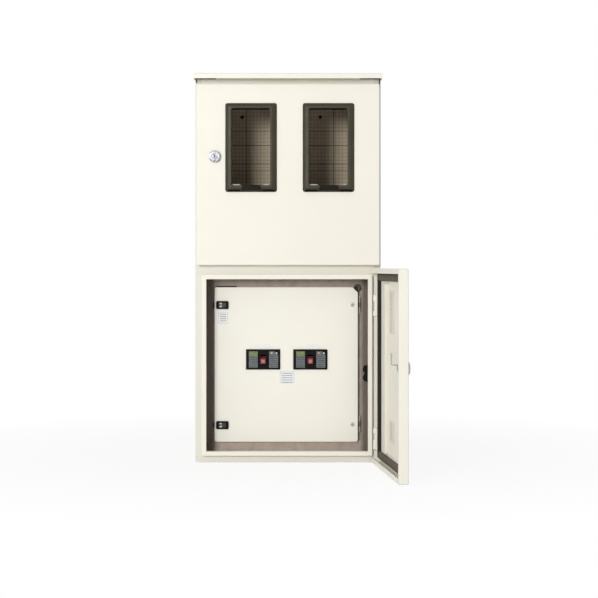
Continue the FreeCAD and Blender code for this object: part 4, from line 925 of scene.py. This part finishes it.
# name, top, bottom and number of rules
CARDS = (("upper", -50.0, -164.0, 25), ("lower", -385.0, -443.0, 11))
LOWER_DOOR_TURN_METRES = Matrix.Scale(MM, 4) @ LOWER_DOOR_TURN @ Matrix.Scale(1 / MM, 4)

for level, top, bottom, rows in CARDS:
    sheet = leaf("door_card_" + level,
                 rounded_rect(CARD_LEFT, CARD_RIGHT, bottom, top, CARD_R, 3),
                 CARD_FACE, CARD_THICKNESS, card, turn=LOWER_DOOR_TURN)
    keep(sheet, "lower_door", "paint")
    rules = ruled("door_card_rules_" + level, CARD_RULES_LEFT, CARD_RULES_RIGHT, top - CARD_HEAD,
                  rows, CARD_PITCH, CARD_FACE + RULE_THICKNESS, card_ink, "lower_door", "paint")
    rules.data.transform(LOWER_DOOR_TURN_METRES)


# Cross recesses of the cover's two screws, as flat black crosses: painted shade

SCREW_PLACE = Vector((174.7, -168.0, -94.9))
SCREW_STEP = Vector((0.0, 0.0, -326.1))
RECESS_RADIUS = 2.6
RECESS_DEPTH = 0.12
# half the width of an arm as a share of the radius
RECESS_ARM_SHARE = 0.24


def cross_recess(radius, depth):
    """The shade in a cross recess, painted as one small black mesh that faces the front."""
    half = radius * RECESS_ARM_SHARE
    bm = bmesh.new()
    for turn in (45.0, 135.0):
        before = len(bm.verts)
        plate(bm, corners(-radius, radius, -half, half), 0.0, depth, 0.05)
        bm.verts.ensure_lookup_table()
        bmesh.ops.transform(bm, matrix=Matrix.Rotation(math.radians(turn), 4, "Y"),
                            verts=bm.verts[before:])
    return mesh_piece("cross_recess", bm, blackened)


cross = cross_recess(RECESS_RADIUS, RECESS_DEPTH)
recesses = from_tree("cover_screw_recesses", repeated_marks, {
    "Rows": 2, "Pitch": SCREW_STEP * MM, "First Row": SCREW_PLACE * MM, "Mark": cross,
    "Finish": blackened})
keep(recesses, "inner_cover", "screw_steel")
bpy.data.objects.remove(cross)


# Floor, in metres

FLOOR_Z = -0.5192
FLOOR_SIDE = 14.0
FLOOR_FRONT = -9.0
FLOOR_BACK = 14.0


def pale_studio_floor():
    """Matt studio floor: white to the eye, and it keeps a soft shadow near the object."""
    material = bpy.data.materials.new("pale_studio_floor")
    material.use_nodes = True
    tree = material.node_tree
    tree.nodes.clear()
    path = add(tree, "ShaderNodeLightPath")
    seen = add(tree, "ShaderNodeMath", {"operation": "MAXIMUM"},
               {0: path.outputs["Is Camera Ray"], 1: path.outputs["Is Glossy Ray"]})
    seen = add(tree, "ShaderNodeMath", {"operation": "MAXIMUM"},
               {0: seen.outputs[0], 1: path.outputs["Is Transmission Ray"]})
    where = add(tree, "ShaderNodeTexCoord")
    away = add(tree, "ShaderNodeVectorMath", {"operation": "LENGTH"},
               {0: where.outputs["Object"]})
    white_share = add(tree, "ShaderNodeMapRange",
                      {"From Min": 0.7, "From Max": 1.5, "To Min": 0.88, "To Max": 1.0},
                      {"Value": away.outputs[1]})
    share = add(tree, "ShaderNodeMath", {"operation": "MULTIPLY"},
                {0: seen.outputs[0], 1: white_share.outputs["Result"]})
    matt = add(tree, "ShaderNodeBsdfDiffuse", {"Color": linear("#EDEDEB")})
    white = add(tree, "ShaderNodeEmission", {"Color": (1, 1, 1, 1), "Strength": 1.0})
    both = add(tree, "ShaderNodeMixShader", None,
               {0: share.outputs[0], 1: matt.outputs[0], 2: white.outputs[0]})
    add(tree, "ShaderNodeOutputMaterial", None, {"Surface": both.outputs[0]})
    return material


floor_mesh = bpy.data.meshes.new("floor")
floor_corners = corners(-FLOOR_SIDE, FLOOR_SIDE, FLOOR_FRONT, FLOOR_BACK)
floor_mesh.from_pydata([(x, y, FLOOR_Z) for x, y in floor_corners], [], [(0, 1, 2, 3)])
floor = bpy.data.objects.new("floor", floor_mesh)
bpy.context.scene.collection.objects.link(floor)
dress(floor, pale_studio_floor())


# Light: a white room, dimmer where the camera stands, and one soft lamp from the upper left

ROOM_LEFT = 0.50
ROOM_RIGHT = 0.43
ROOM_RISE = 0.12
DIM_AHEAD = 0.30
KEY_PLACE = (-2.0, -6.0, 1.02)
KEY_TARGET = (0.0, -0.2, 0.1)
KEY_SIZE = 1.4
KEY_WATTS = 197


def studio_room():
    """A room that looks plain white and lights the object unevenly."""
    world = bpy.data.worlds.new("studio")
    world.use_nodes = True
    sky = world.node_tree
    sky.nodes.clear()
    ray = add(sky, "ShaderNodeLightPath")
    direct = add(sky, "ShaderNodeMath", {"operation": "MAXIMUM"},
                 {0: ray.outputs["Is Camera Ray"], 1: ray.outputs["Is Glossy Ray"]})
    direct = add(sky, "ShaderNodeMath", {"operation": "MAXIMUM"},
                 {0: direct.outputs[0], 1: ray.outputs["Is Transmission Ray"]})
    way = add(sky, "ShaderNodeTexCoord")
    toward = add(sky, "ShaderNodeSeparateXYZ", None, {"Vector": way.outputs["Generated"]})
    room = add(sky, "ShaderNodeMapRange",
               {"From Min": -1.0, "From Max": 1.0, "To Min": ROOM_LEFT, "To Max": ROOM_RIGHT},
               {"Value": toward.outputs["X"]})
    rise = add(sky, "ShaderNodeMath", {"operation": "MULTIPLY_ADD", 1: ROOM_RISE},
               {0: toward.outputs["Z"], 2: room.outputs["Result"]})
    ahead = add(sky, "ShaderNodeMapRange",
                {"From Min": -0.70, "From Max": -0.97, "To Min": 1.0, "To Max": DIM_AHEAD},
                {"Value": toward.outputs["Y"]})
    dimmed = add(sky, "ShaderNodeMath", {"operation": "MULTIPLY"},
                 {0: rise.outputs[0], 1: ahead.outputs["Result"]})
    level = add(sky, "ShaderNodeMix", {"data_type": "FLOAT", 3: 1.0},
                {0: direct.outputs[0], 2: dimmed.outputs[0]})
    ground = add(sky, "ShaderNodeBackground", {"Color": (1, 1, 1, 1)},
                 {"Strength": level.outputs[0]})
    add(sky, "ShaderNodeOutputWorld", None, {"Surface": ground.outputs[0]})
    return world


def soft_lamp(name, place, target, size, watts, colour):
    """A square soft lamp at one place, turned to another, in metres."""
    lamp = bpy.data.lights.new(name, "AREA")
    lamp.shape = "SQUARE"
    lamp.size = size
    lamp.energy = watts
    lamp.color = linear(colour)[:3]
    holder = bpy.data.objects.new(name, lamp)
    bpy.context.scene.collection.objects.link(holder)
    holder.location = place
    holder.rotation_mode = "QUATERNION"
    holder.rotation_quaternion = (Vector(target) - Vector(place)).to_track_quat("-Z", "Y")


bpy.context.scene.world = studio_room()
soft_lamp("key_softbox", KEY_PLACE, KEY_TARGET, KEY_SIZE, KEY_WATTS, "#FFFEFB")


# Camera in front of the object, level; a shift of the lens puts the object at its place

PICTURE_PX = 598
SHIFT_X_PX = 11
SHIFT_Y_PX = -33
FOCAL_MM = 104.99
CAMERA_PLACE = (0.0, -4.925, 0.011)

lens = bpy.data.cameras.new("camera")
lens.sensor_width = 36.0
lens.lens = FOCAL_MM
lens.shift_x = SHIFT_X_PX / PICTURE_PX
lens.shift_y = SHIFT_Y_PX / PICTURE_PX
camera = bpy.data.objects.new("camera", lens)
bpy.context.scene.collection.objects.link(camera)
camera.location = CAMERA_PLACE
camera.rotation_euler = (math.radians(90), 0, 0)
bpy.context.scene.camera = camera
bpy.context.scene.view_settings.view_transform = "Standard"
